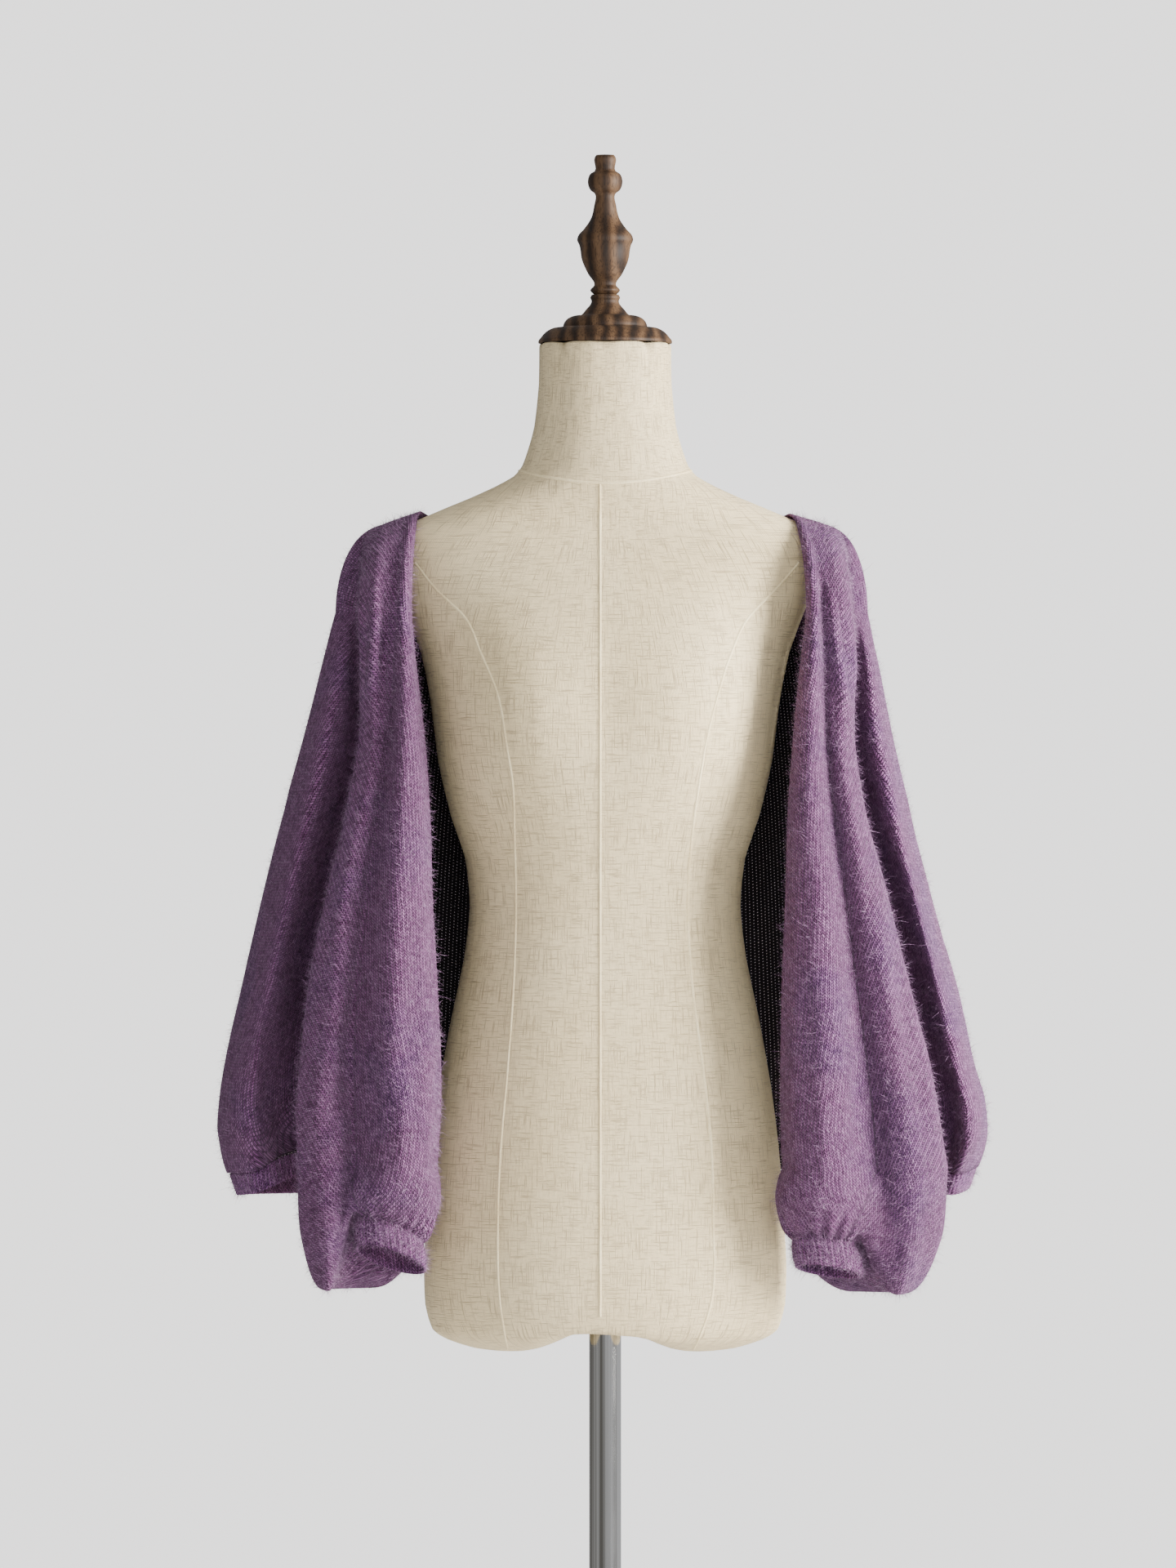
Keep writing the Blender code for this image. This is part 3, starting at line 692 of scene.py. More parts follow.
def back_point(u, row):
    """A point in the back panel's wall: u from seam to seam, row counted down."""
    side = "left" if u <= 0.5 else "right"
    q = 2 * u if u <= 0.5 else 2 * (1 - u)
    if row < YOKE_ROWS:
        low = np.array((*back_section(side, YOKE_END)(q), YOKE_END))
        point = over_shoulder(back_top(side, q), low, ease(q / 0.35), row / YOKE_ROWS)
    else:
        foot = back_foot(side)(q)[0]
        height = mix(YOKE_END, foot, (row - YOKE_ROWS) / BACK_ROWS)
        out, depth = back_section(side, height)(q)
        point = np.array((out, depth + flute(side, q, height), height))
    return point * (side_sign(side), 1.0, 1.0)


# How the cloth is knitted
WALE = 0.0033  # from one column of stitches to the next
COURSE = 0.0025  # from one row of stitches to the next
YARN_MAUVE = (0.148, 0.056, 0.136)
YARN_LILAC = (0.290, 0.148, 0.270)
YARN_VIOLET = (0.080, 0.040, 0.130)
YARN_PLUM = (0.036, 0.010, 0.030)
GAP_DARK = (0.08, 0.05, 0.085)  # what the gaps between stitches leave of the light
LONG_LEG = 0.64  # share of a wale that the leg on the lit side takes


def stitch_place(tree):
    """Where a point is inside its stitch: across the wale, down the bent course, and which."""
    place, level, upright = cloth_place(tree)
    wander = noise(tree, place, 60.0, 2.0)
    across = maths(tree, "MULTIPLY_ADD", wander, 0.5, maths(tree, "DIVIDE", level, WALE))
    in_wale = maths(tree, "FRACT", across)
    long_leg = maths(tree, "DIVIDE", in_wale, LONG_LEG)
    short_leg = maths(tree, "DIVIDE", maths(tree, "SUBTRACT", 1.0, in_wale), 1 - LONG_LEG)
    on_leg = maths(tree, "MINIMUM", long_leg, short_leg)
    # Painted light on one side: the leg on the lit side stands higher and is painted lighter than the
    # other
    lit = maths(tree, "MULTIPLY_ADD", maths(tree, "LESS_THAN", long_leg, short_leg), 0.4, 0.6)
    down = maths(tree, "MULTIPLY_ADD", on_leg, 0.9, maths(tree, "DIVIDE", upright, COURSE))
    down = maths(tree, "MULTIPLY_ADD", wander, 0.6, down)
    in_course = maths(tree, "FRACT", down)
    links = {0: maths(tree, "FLOOR", across), 1: maths(tree, "FLOOR", down), 2: lit}
    number = add_node(tree, "ShaderNodeCombineXYZ", links).outputs[0]
    return place, on_leg, lit, in_course, number


def knit(name="heather knit", tint=(1.0, 1.0, 1.0), relief=0.0014):
    """Stockinette: leaning loops in columns, of a heather yarn with a mohair bloom, with painted shade
    in the gaps and a painted highlight on the lit legs.
    """
    made, tree, shader = new_material(name, 1.0)
    shader.inputs["Specular IOR Level"].default_value = 0.15
    shader.inputs["Sheen Weight"].default_value = 0.16
    shader.inputs["Sheen Roughness"].default_value = 0.4
    shader.inputs["Sheen Tint"].default_value = (0.82, 0.62, 0.84, 1.0)
    place, on_leg, lit, in_course, number = stitch_place(tree)
    leg = maths(tree, "MULTIPLY", maths(tree, "SINE", maths(tree, "MULTIPLY", on_leg, math.pi)), lit)
    loop = maths(tree, "SINE", maths(tree, "MULTIPLY", in_course, math.pi))
    height = maths(tree, "MULTIPLY", maths(tree, "POWER", leg, 0.6), maths(tree, "POWER", loop, 0.7))
    fuzz = noise(tree, place, 1500.0, 2.0, 0.7)
    height = maths(tree, "MULTIPLY_ADD", fuzz, 0.35, height)
    each = add_node(tree, "ShaderNodeTexWhiteNoise", {"Vector": number}).outputs[0]
    object_at = object_place(tree)
    cloud = noise(tree, object_at, 11.0, 4.0, 0.6)
    patch = noise(tree, object_at, 120.0, 3.0, 0.65)
    speckle = noise(tree, object_at, 520.0, 2.0, 0.7)
    base = colour_ramp(tree, cloud, ((0.36, YARN_VIOLET), (0.52, YARN_MAUVE), (0.68, YARN_MAUVE)))
    warm = colour_ramp(tree, patch, ((0.40, YARN_PLUM), (0.50, YARN_MAUVE), (0.66, YARN_LILAC)))
    base = blend(tree, 0.4, base, warm)
    mixed = maths(tree, "MULTIPLY_ADD", speckle, 0.5, maths(tree, "MULTIPLY", each, 0.5))
    fibre = colour_ramp(tree, mixed, ((0.22, YARN_PLUM), (0.48, YARN_MAUVE), (0.78, YARN_LILAC)))
    base = blend(tree, 0.5, base, fibre)
    # Painted shade in the gaps between stitches and a painted highlight on the lit legs
    stops = ((0.20, GAP_DARK), (0.52, (0.72, 0.72, 0.72)), (0.92, (1.6, 1.56, 1.6)))
    shade = colour_ramp(tree, height, stops)
    base = blend(tree, 1.0, base, shade, "MULTIPLY")
    base = blend(tree, 1.0, base, tint, "MULTIPLY")
    tree.links.new(base, shader.inputs["Base Color"])
    bump(tree, shader, height, relief, 1.0)
    return made


NECK_LIGHT_FROM = 1.30  # above this height the wrong side lies in the light
NECK_LIGHT_GAIN = 20.0


def knit_inside():
    """The shaded wrong side: near black, with a pale fleck of light in each loop."""
    made, tree, shader = new_material("knit inside", 1.0)
    shader.inputs["Specular IOR Level"].default_value = 0.1
    place, across, down = cloth_place(tree)
    waves = []
    for length, stitch in ((across, WALE), (down, COURSE)):
        wave = maths(tree, "SINE", maths(tree, "MULTIPLY", length, 2 * math.pi / stitch))
        waves.append(maths(tree, "MAXIMUM", wave, 0.0))
    dot = maths(tree, "MULTIPLY", *waves)
    uneven = noise(tree, place, 300.0, 2.0)
    dot = maths(tree, "MULTIPLY", maths(tree, "POWER", dot, 2.5), maths(tree, "MULTIPLY", uneven, 1.6))
    stops = ((0.0, (0.016, 0.013, 0.015)), (0.15, (0.03, 0.026, 0.029)), (0.6, (0.80, 0.72, 0.76)))
    inside = colour_ramp(tree, dot, stops)
    height = add_node(tree, "ShaderNodeSeparateXYZ", {0: object_place(tree)}).outputs[2]
    above = maths(tree, "SUBTRACT", height, NECK_LIGHT_FROM)
    at_neck = held_in(tree, maths(tree, "MULTIPLY", above, NECK_LIGHT_GAIN))
    tree.links.new(blend(tree, at_neck, inside, YARN_MAUVE), shader.inputs["Base Color"])
    bump(tree, shader, dot, 0.0006, 0.5)
    return made


def nearness(place, middle, half_width):
    """1 on a fold's line, falling softly to 0 beside it."""
    return math.exp(-(((place - middle) / half_width) ** 2))


def crease_lift(folds, out, height):
    """How far the listed folds lift a point, in millimetres; a trough counts below 0."""
    lift = 0.0
    for top, out_top, low, out_low, bow, half_width, rise in folds:
        along = (top - height) / (top - low)
        if 0.0 < along < 1.0:
            line = mix(out_top, out_low, along) + bow * math.sin(math.pi * along)
            lift += rise * math.sin(math.pi * along) ** 0.7 * nearness(out, line, half_width)
    return lift


def lay_cloth(name, points, uvs, lift_at, facing, materials):
    """A sheet of cloth from a net of points: folds along its normals, then its wall."""
    rows, columns = points.shape[0] - 1, points.shape[1] - 1
    bm = bmesh.new()
    uv = bm.loops.layers.uv.new("cloth")
    made = bmesh.ops.create_grid(bm, x_segments=columns, y_segments=rows, size=0.5)
    net = {}
    for vert in made["verts"]:
        net[vert] = (round((0.5 - vert.co.y) * rows), round((vert.co.x + 0.5) * columns))
    for face in bm.faces:
        for loop in face.loops:
            loop[uv].uv = uvs[net[loop.vert]] * MM
    steps_across = np.gradient(points, axis=1)
    steps_down = np.gradient(points, axis=0)
    normals = np.cross(steps_across, steps_down)
    normals /= np.linalg.norm(normals, axis=2, keepdims=True) + 1e-9
    row, column, direction = facing
    if float(np.dot(normals[row, column], direction)) < 0:
        normals = -normals
    for vert, spot in net.items():
        vert.co = (points[spot] + normals[spot] * lift_at(*spot)) * MM
    bmesh.ops.remove_doubles(bm, verts=bm.verts, dist=0.00001)
    bmesh.ops.recalc_face_normals(bm, faces=bm.faces)
    spot = Vector(points[row, column] * MM)
    middle = min(bm.faces, key=lambda face: (face.calc_center_median() - spot).length)
    if middle.normal.dot(Vector(direction)) < 0:
        bmesh.ops.reverse_faces(bm, faces=bm.faces)
    bm.normal_update()
    lean = {vert: vert.normal.copy() for vert in bm.verts}
    rim = [edge for edge in bm.edges if edge.is_boundary]
    sheet = list(bm.faces)
    inner = {vert: bm.verts.new(vert.co - lean[vert] * CLOTH * MM / 2) for vert in lean}
    for vert in lean:
        vert.co += lean[vert] * CLOTH * MM / 2
    for face in sheet:
        corners = list(reversed(face.loops))
        back = bm.faces.new([inner[loop.vert] for loop in corners])
        back.material_index = 1
        for loop, twin in zip(corners, back.loops):
            twin[uv].uv = loop[uv].uv
    for edge in rim:
        first, second = edge.verts
        face = edge.link_faces[0]
        known = {loop.vert: loop[uv].uv.copy() for loop in face.loops}
        wall = bm.faces.new((first, second, inner[second], inner[first]))
        for loop, twin in zip(wall.loops, (first, second, second, first)):
            loop[uv].uv = known[twin]
    bmesh.ops.recalc_face_normals(bm, faces=bm.faces)
    return link_mesh(bm, name, materials)


def lengths_along(points, axis):
    """How far each point of a net lies along its row or column, by the cloth."""
    steps = np.linalg.norm(np.diff(points, axis=axis), axis=2)
    start = np.zeros((1, points.shape[1]) if axis == 0 else (points.shape[0], 1))
    return np.concatenate((start, np.cumsum(steps, axis=axis)), axis=axis)


def net_of(rows, columns, place):
    """A net of points, each placed by its row and column."""
    points = np.zeros((rows + 1, columns + 1, 3))
    for row in range(rows + 1):
        for column in range(columns + 1):
            points[row, column] = place(row, column)
    return points


PIECE_FINE = 8  # rows of the fine net to each row of the solid
BACK_NET = 300
FAN = 0.6  # how much of the panel's widening the wales share out by fanning
OUTLINE_AT = 0.43  # the place along the section where the outline lies
WAIST_ROW = YOKE_ROWS * PIECE_FINE + 60  # of the fine net, whose width the wales follow
FOLD_FOOT = 850.0  # the height that the falling folds run down to
SIDE_SWAY = 0.006
BACK_FOLDS = (
    # side, out at the top, out at the foot, half width, rise, top height
    ("left", 60, 48, 16, 4.0, 1330),
    ("left", 96, 118, 15, 5.0, 1310),
    ("left", 140, 186, 17, 5.5, 1290),
    ("left", 178, 238, 14, 3.5, 1240),
    ("right", 22, 8, 17, 3.5, 1320),
    ("right", 78, 74, 15, 4.5, 1325),
    ("right", 118, 150, 18, 6.0, 1300),
    ("right", 165, 216, 15, 4.5, 1260),
)
OUTER_FOLDS = {
    # top, out there, low, out there, bow, half width, rise; on the outer lobes' front
    "left": (
        (1352, 213, 1225, 222, 2, 5.0, 1.6),
        (1330, 222, 1120, 252, 0, 9.0, 2.0),
        (1180, 262, 960, 300, 3, 12.0, -2.2),
        (1010, 285, 880, 290, -4, 9.0, -3.0),
        (960, 306, 868, 312, 2, 8.0, 2.4),
        (925, 268, 862, 272, 3, 7.0, -3.5),
        (900, 300, 850, 296, -3, 6.0, -2.6),
    ),
    "right": (
        (1342, 206, 1215, 211, 1, 4.5, 1.8),
        (1300, 222, 1110, 246, -2, 10.0, 2.2),
        (1170, 250, 980, 290, 4, 12.0, -2.4),
        (1050, 282, 900, 306, 2, 9.0, 2.4),
        (960, 296, 862, 290, -4, 9.0, -3.0),
        (930, 312, 866, 304, 3, 6.0, 2.4),
    ),
}
SIDE_FOLDS = (
    # side, place round the section at the top, at the foot, half width, rise, top
    ("left", 0.49, 0.475, 0.016, 4.5, 1310),
    ("left", 0.53, 0.525, 0.014, -5.0, 1270),
    ("left", 0.57, 0.585, 0.018, 5.0, 1330),
    ("left", 0.62, 0.645, 0.014, -3.5, 1210),
    ("right", 0.48, 0.465, 0.014, 3.5, 1290),
    ("right", 0.515, 0.50, 0.015, -5.0, 1320),
    ("right", 0.555, 0.55, 0.017, 5.5, 1260),
    ("right", 0.60, 0.61, 0.014, -4.0, 1300),
    ("right", 0.65, 0.67, 0.018, 4.0, 1200),
)


def falling_lift(folds, side, place, height, onset, sway=0.0):
    """How far folds that fall to the panel's foot lift a point, each by its own line."""
    lift = 0.0
    for where, at_top, at_foot, half_width, rise, top in folds:
        if where == side and height < top:
            along = (top - height) / (top - FOLD_FOOT)
            line = mix(at_top, at_foot, along) + sway * math.sin(9.0 * along + 40.0 * at_top)
            lift += rise * ease(along * onset) * nearness(place, line, half_width)
    return lift


def back_lift(side, q, out, height):
    """Folds of the back panel: down the back behind, small ones on the outer lobes."""
    at_hem = ease((height - 858.0) / 40.0)
    lift = falling_lift(SIDE_FOLDS, side, q, height, 2.2, SIDE_SWAY)
    if q < 0.5:
        inset = ease((q - 0.12) / 0.08) * ease((height - 866.0) / 30.0)
        return lift * at_hem + inset * crease_lift(OUTER_FOLDS[side], out, height)
    lift += ease((q - 0.5) / 0.1) * falling_lift(BACK_FOLDS, side, out, height, 1.6)
    return lift * at_hem


def make_back(outside, inside):
    """The panel's net, from armhole seam to armhole seam, and its wales."""

    def place(row, column):
        return back_point(column / BACK_NET, row / PIECE_FINE)

    points = net_of((YOKE_ROWS + BACK_ROWS) * PIECE_FINE, BACK_NET, place)
    across = lengths_along(points, 1)
    down = lengths_along(points, 0)
    middle = BACK_NET // 2
    from_middle = across - across[:, middle : middle + 1]
    edge = round(OUTLINE_AT / 2 * BACK_NET)
    reach = np.abs(from_middle[:, edge])[:, None]
    shared = from_middle / reach * reach[WAIST_ROW]
    fanned = mix(from_middle, shared, FAN)
    beyond = np.sign(from_middle) * (np.abs(from_middle) - reach)
    at_edge = np.sign(from_middle) * mix(reach, reach[WAIST_ROW], FAN)
    wales = np.where(np.abs(from_middle) > reach, at_edge + beyond, fanned)
    uvs = np.stack((wales, -down), axis=2)

    def lift_at(row, column):
        u = column / BACK_NET
        q = 2 * min(u, 1 - u)
        out, _depth, height = points[row, column]
        side = "left" if u <= 0.5 else "right"
        return back_lift(side, q, abs(out), height)

    facing = (YOKE_ROWS * PIECE_FINE + 40, middle, (0.0, 1.0, 0.0))
    piece = lay_cloth("back_cloth", points, uvs, lift_at, facing, (outside, inside))
    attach(piece, "root")
    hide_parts("back_panel")
    return piece


knit_outside = knit()
wrong_side = knit_inside()
back_cloth = make_back(knit_outside, wrong_side)

# The sleeves. Two balloon sleeves in the same stockinette: an open front edge above, a
# closed tube below the underarm, and a full second lobe that hangs past the cuff.
SLEEVE_END = 866.0  # the last level section, where the gather into the cuff starts
GATHER_ROWS = 8
SEAM_GAP = 0.3  # between two pieces that are sewn together
TUBE_ROWS = 1  # level rows below the underarm, where the sleeve is a closed tube
UNDERARM = SLEEVE_END + TUBE_ROWS * (YOKE_END - SLEEVE_END) / BODY_ROWS
OPENING_RISE = 100.0  # over which the sleeve opens above the underarm

# The cuffs: the middle of the upper edge, half its width and depth, how much lower its
# inner side and its rear hang, and where the band leads on its way down
CUFFS = {
    "left": {
        "middle": (181.0, -87.0, 809.0),
        "half_width": 28.0,
        "half_depth": 19.0,
        "inner_drop": 9.0,
        "rear_drop": 9.5,
        "lead": (-2.0, -3.0, -20.0),
    },
    "right": {
        "middle": (184.0, -87.0, 800.0),
        "half_width": 27.0,
        "half_depth": 19.0,
        "inner_drop": -4.0,
        "rear_drop": 5.5,
        "lead": (3.0, -3.0, -21.0),
    },
}
BRIM_CLEAR = 0.15  # more, where the sleeve's edge and the band both round off
GATHER_NECK = 0.2  # of the band's depth, where the sleeve stands upright above it
GATHER_ROLL = 5.0  # how far outside the cuff the hanging lobe rolls over into it
GATHER_LEDGE = 8.0  # how far out the sleeve stays above the roll where it doesn't hang
# The part of the section that hangs, and over how much of it each side of it slopes
HANG_FROM = 0.34
HANG_TO = 0.78
HANG_SIDE = 0.17
# How low the second lobe droops past the cuff
DROOP = {"left": 764.0, "right": 761.0}
# Places along the sleeve's section, from its free edge round to the armhole seam
SLEEVE_STATIONS = (0.0, 0.12, 0.26, 0.36, 0.45, 0.59, 0.71, 0.80, 0.90, 1.0)
# The same places on the shoulder seam, as shares of its way
SLEEVE_SHOULDER = (0.0, 0.05, 0.10, 0.17, 0.28, 0.45, 0.61, 0.75, 0.89, 1.0)


@lru_cache(maxsize=None)
def sleeve_section(side, height):
    """The sleeve's level section: a curve of (out, depth)."""
    edge, crease, lobe, _outline = front_of[side](height)
    y_edge, y_front, y_crease, y_second, y_turn, y_behind, y_seam = sleeve_depths_at(height)
    seam = seam_out_at(height)[0]
    opened = min(max((height - UNDERARM) / OPENING_RISE, 0.0), 1.0)
    y_join = mix(y_edge, y_seam, 0.5)
    first = (edge, mix(y_join, y_edge, opened))
    y_last = y_seam - seam_offset(1.0)
    last = (mix(edge, seam, opened), mix(y_join, y_last, opened))
    front_width = crease - edge
    lobe_width = lobe - crease
    wrap = min(max((lobe - last[0]) / 50.0, 0.0), 1.0)
    points = (
        first,
        (edge + mix(0.16, 0.2, opened) * front_width, mix(y_edge, y_front, 0.8)),
        (edge + 0.62 * front_width, y_front),
        (crease, y_crease),
        (crease + 0.28 * lobe_width, y_second + 1.0),
        (crease + 0.70 * lobe_width, y_second + 2.0),
        (lobe, y_turn),
        (mix(lobe, last[0], 0.42), mix(mix(y_turn, last[1], 0.35), y_behind, wrap)),
        (mix(lobe, last[0], 0.76), mix(mix(y_turn, last[1], 0.68), y_behind - 6.0, wrap)),
        last,
    )
    return curve_through(SLEEVE_STATIONS, points)


def cuff_point(side, turn, down=0.0):
    """A point on the cuff: turn runs from its inner side over the front and round."""
    cuff = CUFFS[side]
    angle = math.pi + turn * 2 * math.pi
    across = math.cos(angle)
    back = math.sin(angle)
    middle = cuff["middle"]
    lead = cuff["lead"]
    out = middle[0] + cuff["half_width"] * across + lead[0] * down
    depth = middle[1] + cuff["half_depth"] * back + lead[1] * down
    height = middle[2] + cuff["inner_drop"] * across - cuff["rear_drop"] * back + lead[2] * down
    return np.array((out, depth, height))


def sleeve_point(side, q, row):
    """A point in the sleeve's wall: q round it, row counted from the shoulder down."""
    body_end = YOKE_ROWS + BODY_ROWS
    if row < YOKE_ROWS:
        share = sleeve_on_shoulder(q)
        top = shoulder_at[side](share)
        top[1] -= seam_offset(share)
        low = np.array((*sleeve_section(side, YOKE_END)(q), YOKE_END))
        return over_shoulder(top, low, 1 - ease((q - 0.6) / 0.4), row / YOKE_ROWS)
    if row <= body_end:
        height = mix(YOKE_END, SLEEVE_END, (row - YOKE_ROWS) / BODY_ROWS)
        return np.array((*sleeve_section(side, height)(q), height))
    if row > body_end + GATHER_ROWS - 1:
        brim = cuff_point(side, q)
        brim[2] += SEAM_GAP + BRIM_CLEAR
        return mix(cuff_point(side, q, -GATHER_NECK), brim, row - body_end - GATHER_ROWS + 1)
    return gather_way(side, q)((row - body_end) / (GATHER_ROWS - 1))


@lru_cache(maxsize=None)
def gather_way(side, q):
    """The way down from the last level section into the cuff. The second lobe hangs past it."""
    start = np.array((*sleeve_section(side, SLEEVE_END)(q), SLEEVE_END))
    neck = cuff_point(side, q, -GATHER_NECK)
    away = (neck - np.array(CUFFS[side]["middle"])) * (1.0, 1.0, 0.0)
    away /= np.linalg.norm(away)
    hang = ease((q - HANG_FROM) / HANG_SIDE) * (1 - ease((q - HANG_TO) / HANG_SIDE))
    low = DROOP[side]
    brink = neck + GATHER_ROLL * away + (0.0, 0.0, 0.9 * GATHER_ROLL)
    points = [start]
    for share, across, bulge, height in (
        (0.25, 0.08, 3.0, mix(SLEEVE_END, low, 0.58)),
        (0.50, 0.42, 8.0, low),
        (0.70, 0.86, 4.0, mix(low, neck[2], 0.40)),
    ):
        hanging = mix(start, brink, across) + bulge * away
        hanging[2] = height
        fall = share / 0.87
        ledge = GATHER_LEDGE * math.sin(math.pi * fall) * away
        direct = mix(start, brink, 1 - (1 - fall) ** 2) + ledge
        direct[2] = mix(start[2], brink[2], fall)
        points.append(mix(direct, hanging, hang))
    return curve_through((0.0, 0.25, 0.50, 0.70, 0.87, 1.0), [*points, brink, neck])


sleeve_on_shoulder = curve_through(SLEEVE_STATIONS, SLEEVE_SHOULDER)

SLEEVE_NET = 150
SLEEVE_FOLDS = {
    # top, out there, low, out there, bow, half width, rise
    "left": (
        (1362, 207, 1240, 202, 0, 3.2, 2.6),
        (1350, 200, 1262, 200, 0, 3.0, -2.6),
        (1366, 192, 1235, 198, -2, 3.4, 2.6),
        (1356, 184, 1262, 189, 0, 3.0, -2.4),
        (1362, 177, 1250, 182, 1, 2.6, -2.6),
        (1376, 170, 1180, 168, 4, 5.0, 1.8),
        (1310, 196, 1130, 214, 2, 6.0, 1.8),
        (1250, 192, 1060, 214, 3, 6.5, -2.0),
        (1180, 205, 985, 226, 2, 7.0, 2.2),
        (1080, 222, 930, 240, 1, 7.0, -2.0),
        (1010, 216, 885, 228, -2, 8.0, -2.2),
        (960, 238, 850, 240, 3, 6.0, 1.8),
        (1300, 166, 1090, 160, 3, 6.0, -1.6),
        (1130, 176, 930, 180, -3, 9.0, 2.2),
        (1060, 160, 900, 156, 2, 7.0, -1.8),
        (985, 190, 880, 186, 4, 6.0, -1.8),
        (940, 166, 850, 170, 0, 6.0, 1.8),
    ),
    "right": (
        (1362, 181, 1250, 188, 0, 3.0, -2.6),
        (1358, 187, 1225, 204, -1, 3.4, 2.8),
        (1350, 193, 1255, 205, 1, 3.2, -2.8),
        (1364, 200, 1230, 209, 2, 3.2, 2.2),
        (1376, 174, 1200, 178, 3, 5.0, 1.6),
        (1290, 198, 1110, 216, 2, 6.0, 1.8),
        (1230, 200, 1050, 226, 2, 6.5, -2.2),
        (1160, 214, 965, 246, 2, 7.0, 2.2),
        (1060, 234, 900, 262, 2, 8.0, -2.2),
        (980, 262, 860, 274, 2, 6.0, 2.0),
        (1260, 172, 1060, 168, 3, 7.0, -1.6),
        (1120, 190, 920, 196, -3, 9.0, 2.2),
        (1030, 168, 880, 164, 2, 8.0, -2.2),
        (960, 206, 860, 204, 3, 6.0, -2.0),
        (930, 180, 840, 184, 0, 6.0, 1.8),
    ),
}
CREASE_AT = 0.36  # the place along the section where the two lobes meet
LEAN = math.radians(28)  # of the wales in the second lobe
GATHERS = 22  # small folds where the sleeve is drawn into its cuff
GATHER_LIFT = 1.7


def sleeve_lift(side, q, share, out, height, uneven):
    """Folds of a sleeve: those listed in front, and the gathers over the cuff."""
    front = ease(q / 0.06) * (1 - ease((q - 0.66) / 0.12))
    lift = front * ease((height - 838.0) / 30.0) * crease_lift(SLEEVE_FOLDS[side], out, height)
    drawn = ease((share - 0.83) / 0.09) * (1 - ease((share - 0.965) / 0.03))
    pleat = math.sin(2 * math.pi * (GATHERS * q + 0.9 * math.sin(7.0 * q + uneven)))
    return lift + GATHER_LIFT * drawn * pleat * (0.6 + 0.4 * math.sin(19.0 * q + uneven))


def make_sleeve(side, outside, inside):
    """A sleeve's net, its wales upright in the front lobe and leaning in the second."""
    sign = side_sign(side)
    rows = (YOKE_ROWS + BODY_ROWS + GATHER_ROWS) * PIECE_FINE

    def place(row, column):
        return sleeve_point(side, column / SLEEVE_NET, row / PIECE_FINE)

    points = net_of(rows, SLEEVE_NET, place)
    points[:, :, 0] *= sign
    across = lengths_along(points, 1)
    down = lengths_along(points, 0)
    q = np.linspace(0.0, 1.0, SLEEVE_NET + 1)[None, :]
    crease = across[:, round(CREASE_AT * SLEEVE_NET)][:, None]
    beyond = across - crease
    turned = np.where(q > CREASE_AT, 1.0, 0.0)
    level = mix(across, beyond * math.cos(LEAN) + down * math.sin(LEAN), turned)
    fall = mix(down, down * math.cos(LEAN) - beyond * math.sin(LEAN), turned)
    uvs = np.stack((level * sign, -fall), axis=2)
    uneven = 0.4 if side == "left" else 2.1

    def lift_at(row, column):
        out, _depth, height = points[row, column]
        return sleeve_lift(side, column / SLEEVE_NET, row / rows, abs(out), height, uneven)

    facing = (10 * PIECE_FINE, round(0.2 * SLEEVE_NET), (0.0, -1.0, 0.0))
    piece = lay_cloth(f"sleeve_cloth_{side}", points, uvs, lift_at, facing, (outside, inside))
    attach(piece, "root")
    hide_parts(f"sleeve_{side}")
    return piece


sleeve_cloths = {}
for side in ("left", "right"):
    sleeve_cloths[side] = make_sleeve(side, knit_outside, wrong_side)

# The hem band. Rib in the same yarn, knitted on to the back panel's lower edge, which it
# draws in a little. Its own edge rolls.
RIB_TINT = (0.93, 0.90, 0.94)
RIB_RELIEF = 0.0006
RIB_RISE = 0.9  # height of a rib over the band's plain inside
HEM_RIBS = 120
HEM_DEPTH = 18.0
HEM_GAP = 0.5
HEM_DRAW = 0.98  # how far the band draws in towards its lower edge
BACK_COLUMNS = 40  # stretches of the back panel's foot that the band follows
RIB_NET = 6  # points across each rib
HEM_NET_ROWS = 8
HEM_SINK = 0.1


def hem_rows():
    """The hem band's upper and lower edge, each from seam to seam, along the back's foot."""
    upper = []
    lower = []
    for column in range(BACK_COLUMNS + 1):
        top = back_point(column / BACK_COLUMNS, YOKE_ROWS + BACK_ROWS)
        top[2] -= HEM_GAP
        upper.append(top)
        lower.append(top * (HEM_DRAW, HEM_DRAW, 1.0) - (0.0, 0.0, HEM_DEPTH))
    return upper, lower


def along_row(row, share):
    """A point on a row of points joined by straight stretches."""
    place = share * (len(row) - 1)
    step = min(int(place), len(row) - 2)
    return mix(row[step], row[step + 1], place - step)


def rib_lift(turns, share):
    """A round rib, which sinks where the band is sewn on and at its rolled edge."""
    sunk = 1 - 0.35 * abs(2 * share - 1) ** 4
    return RIB_RISE * (0.5 - 0.5 * math.cos(2 * math.pi * turns)) * sunk


def straight_uvs(points):
    """The lengths across and down a band."""
    return np.stack((lengths_along(points, 1), -lengths_along(points, 0)), axis=2)


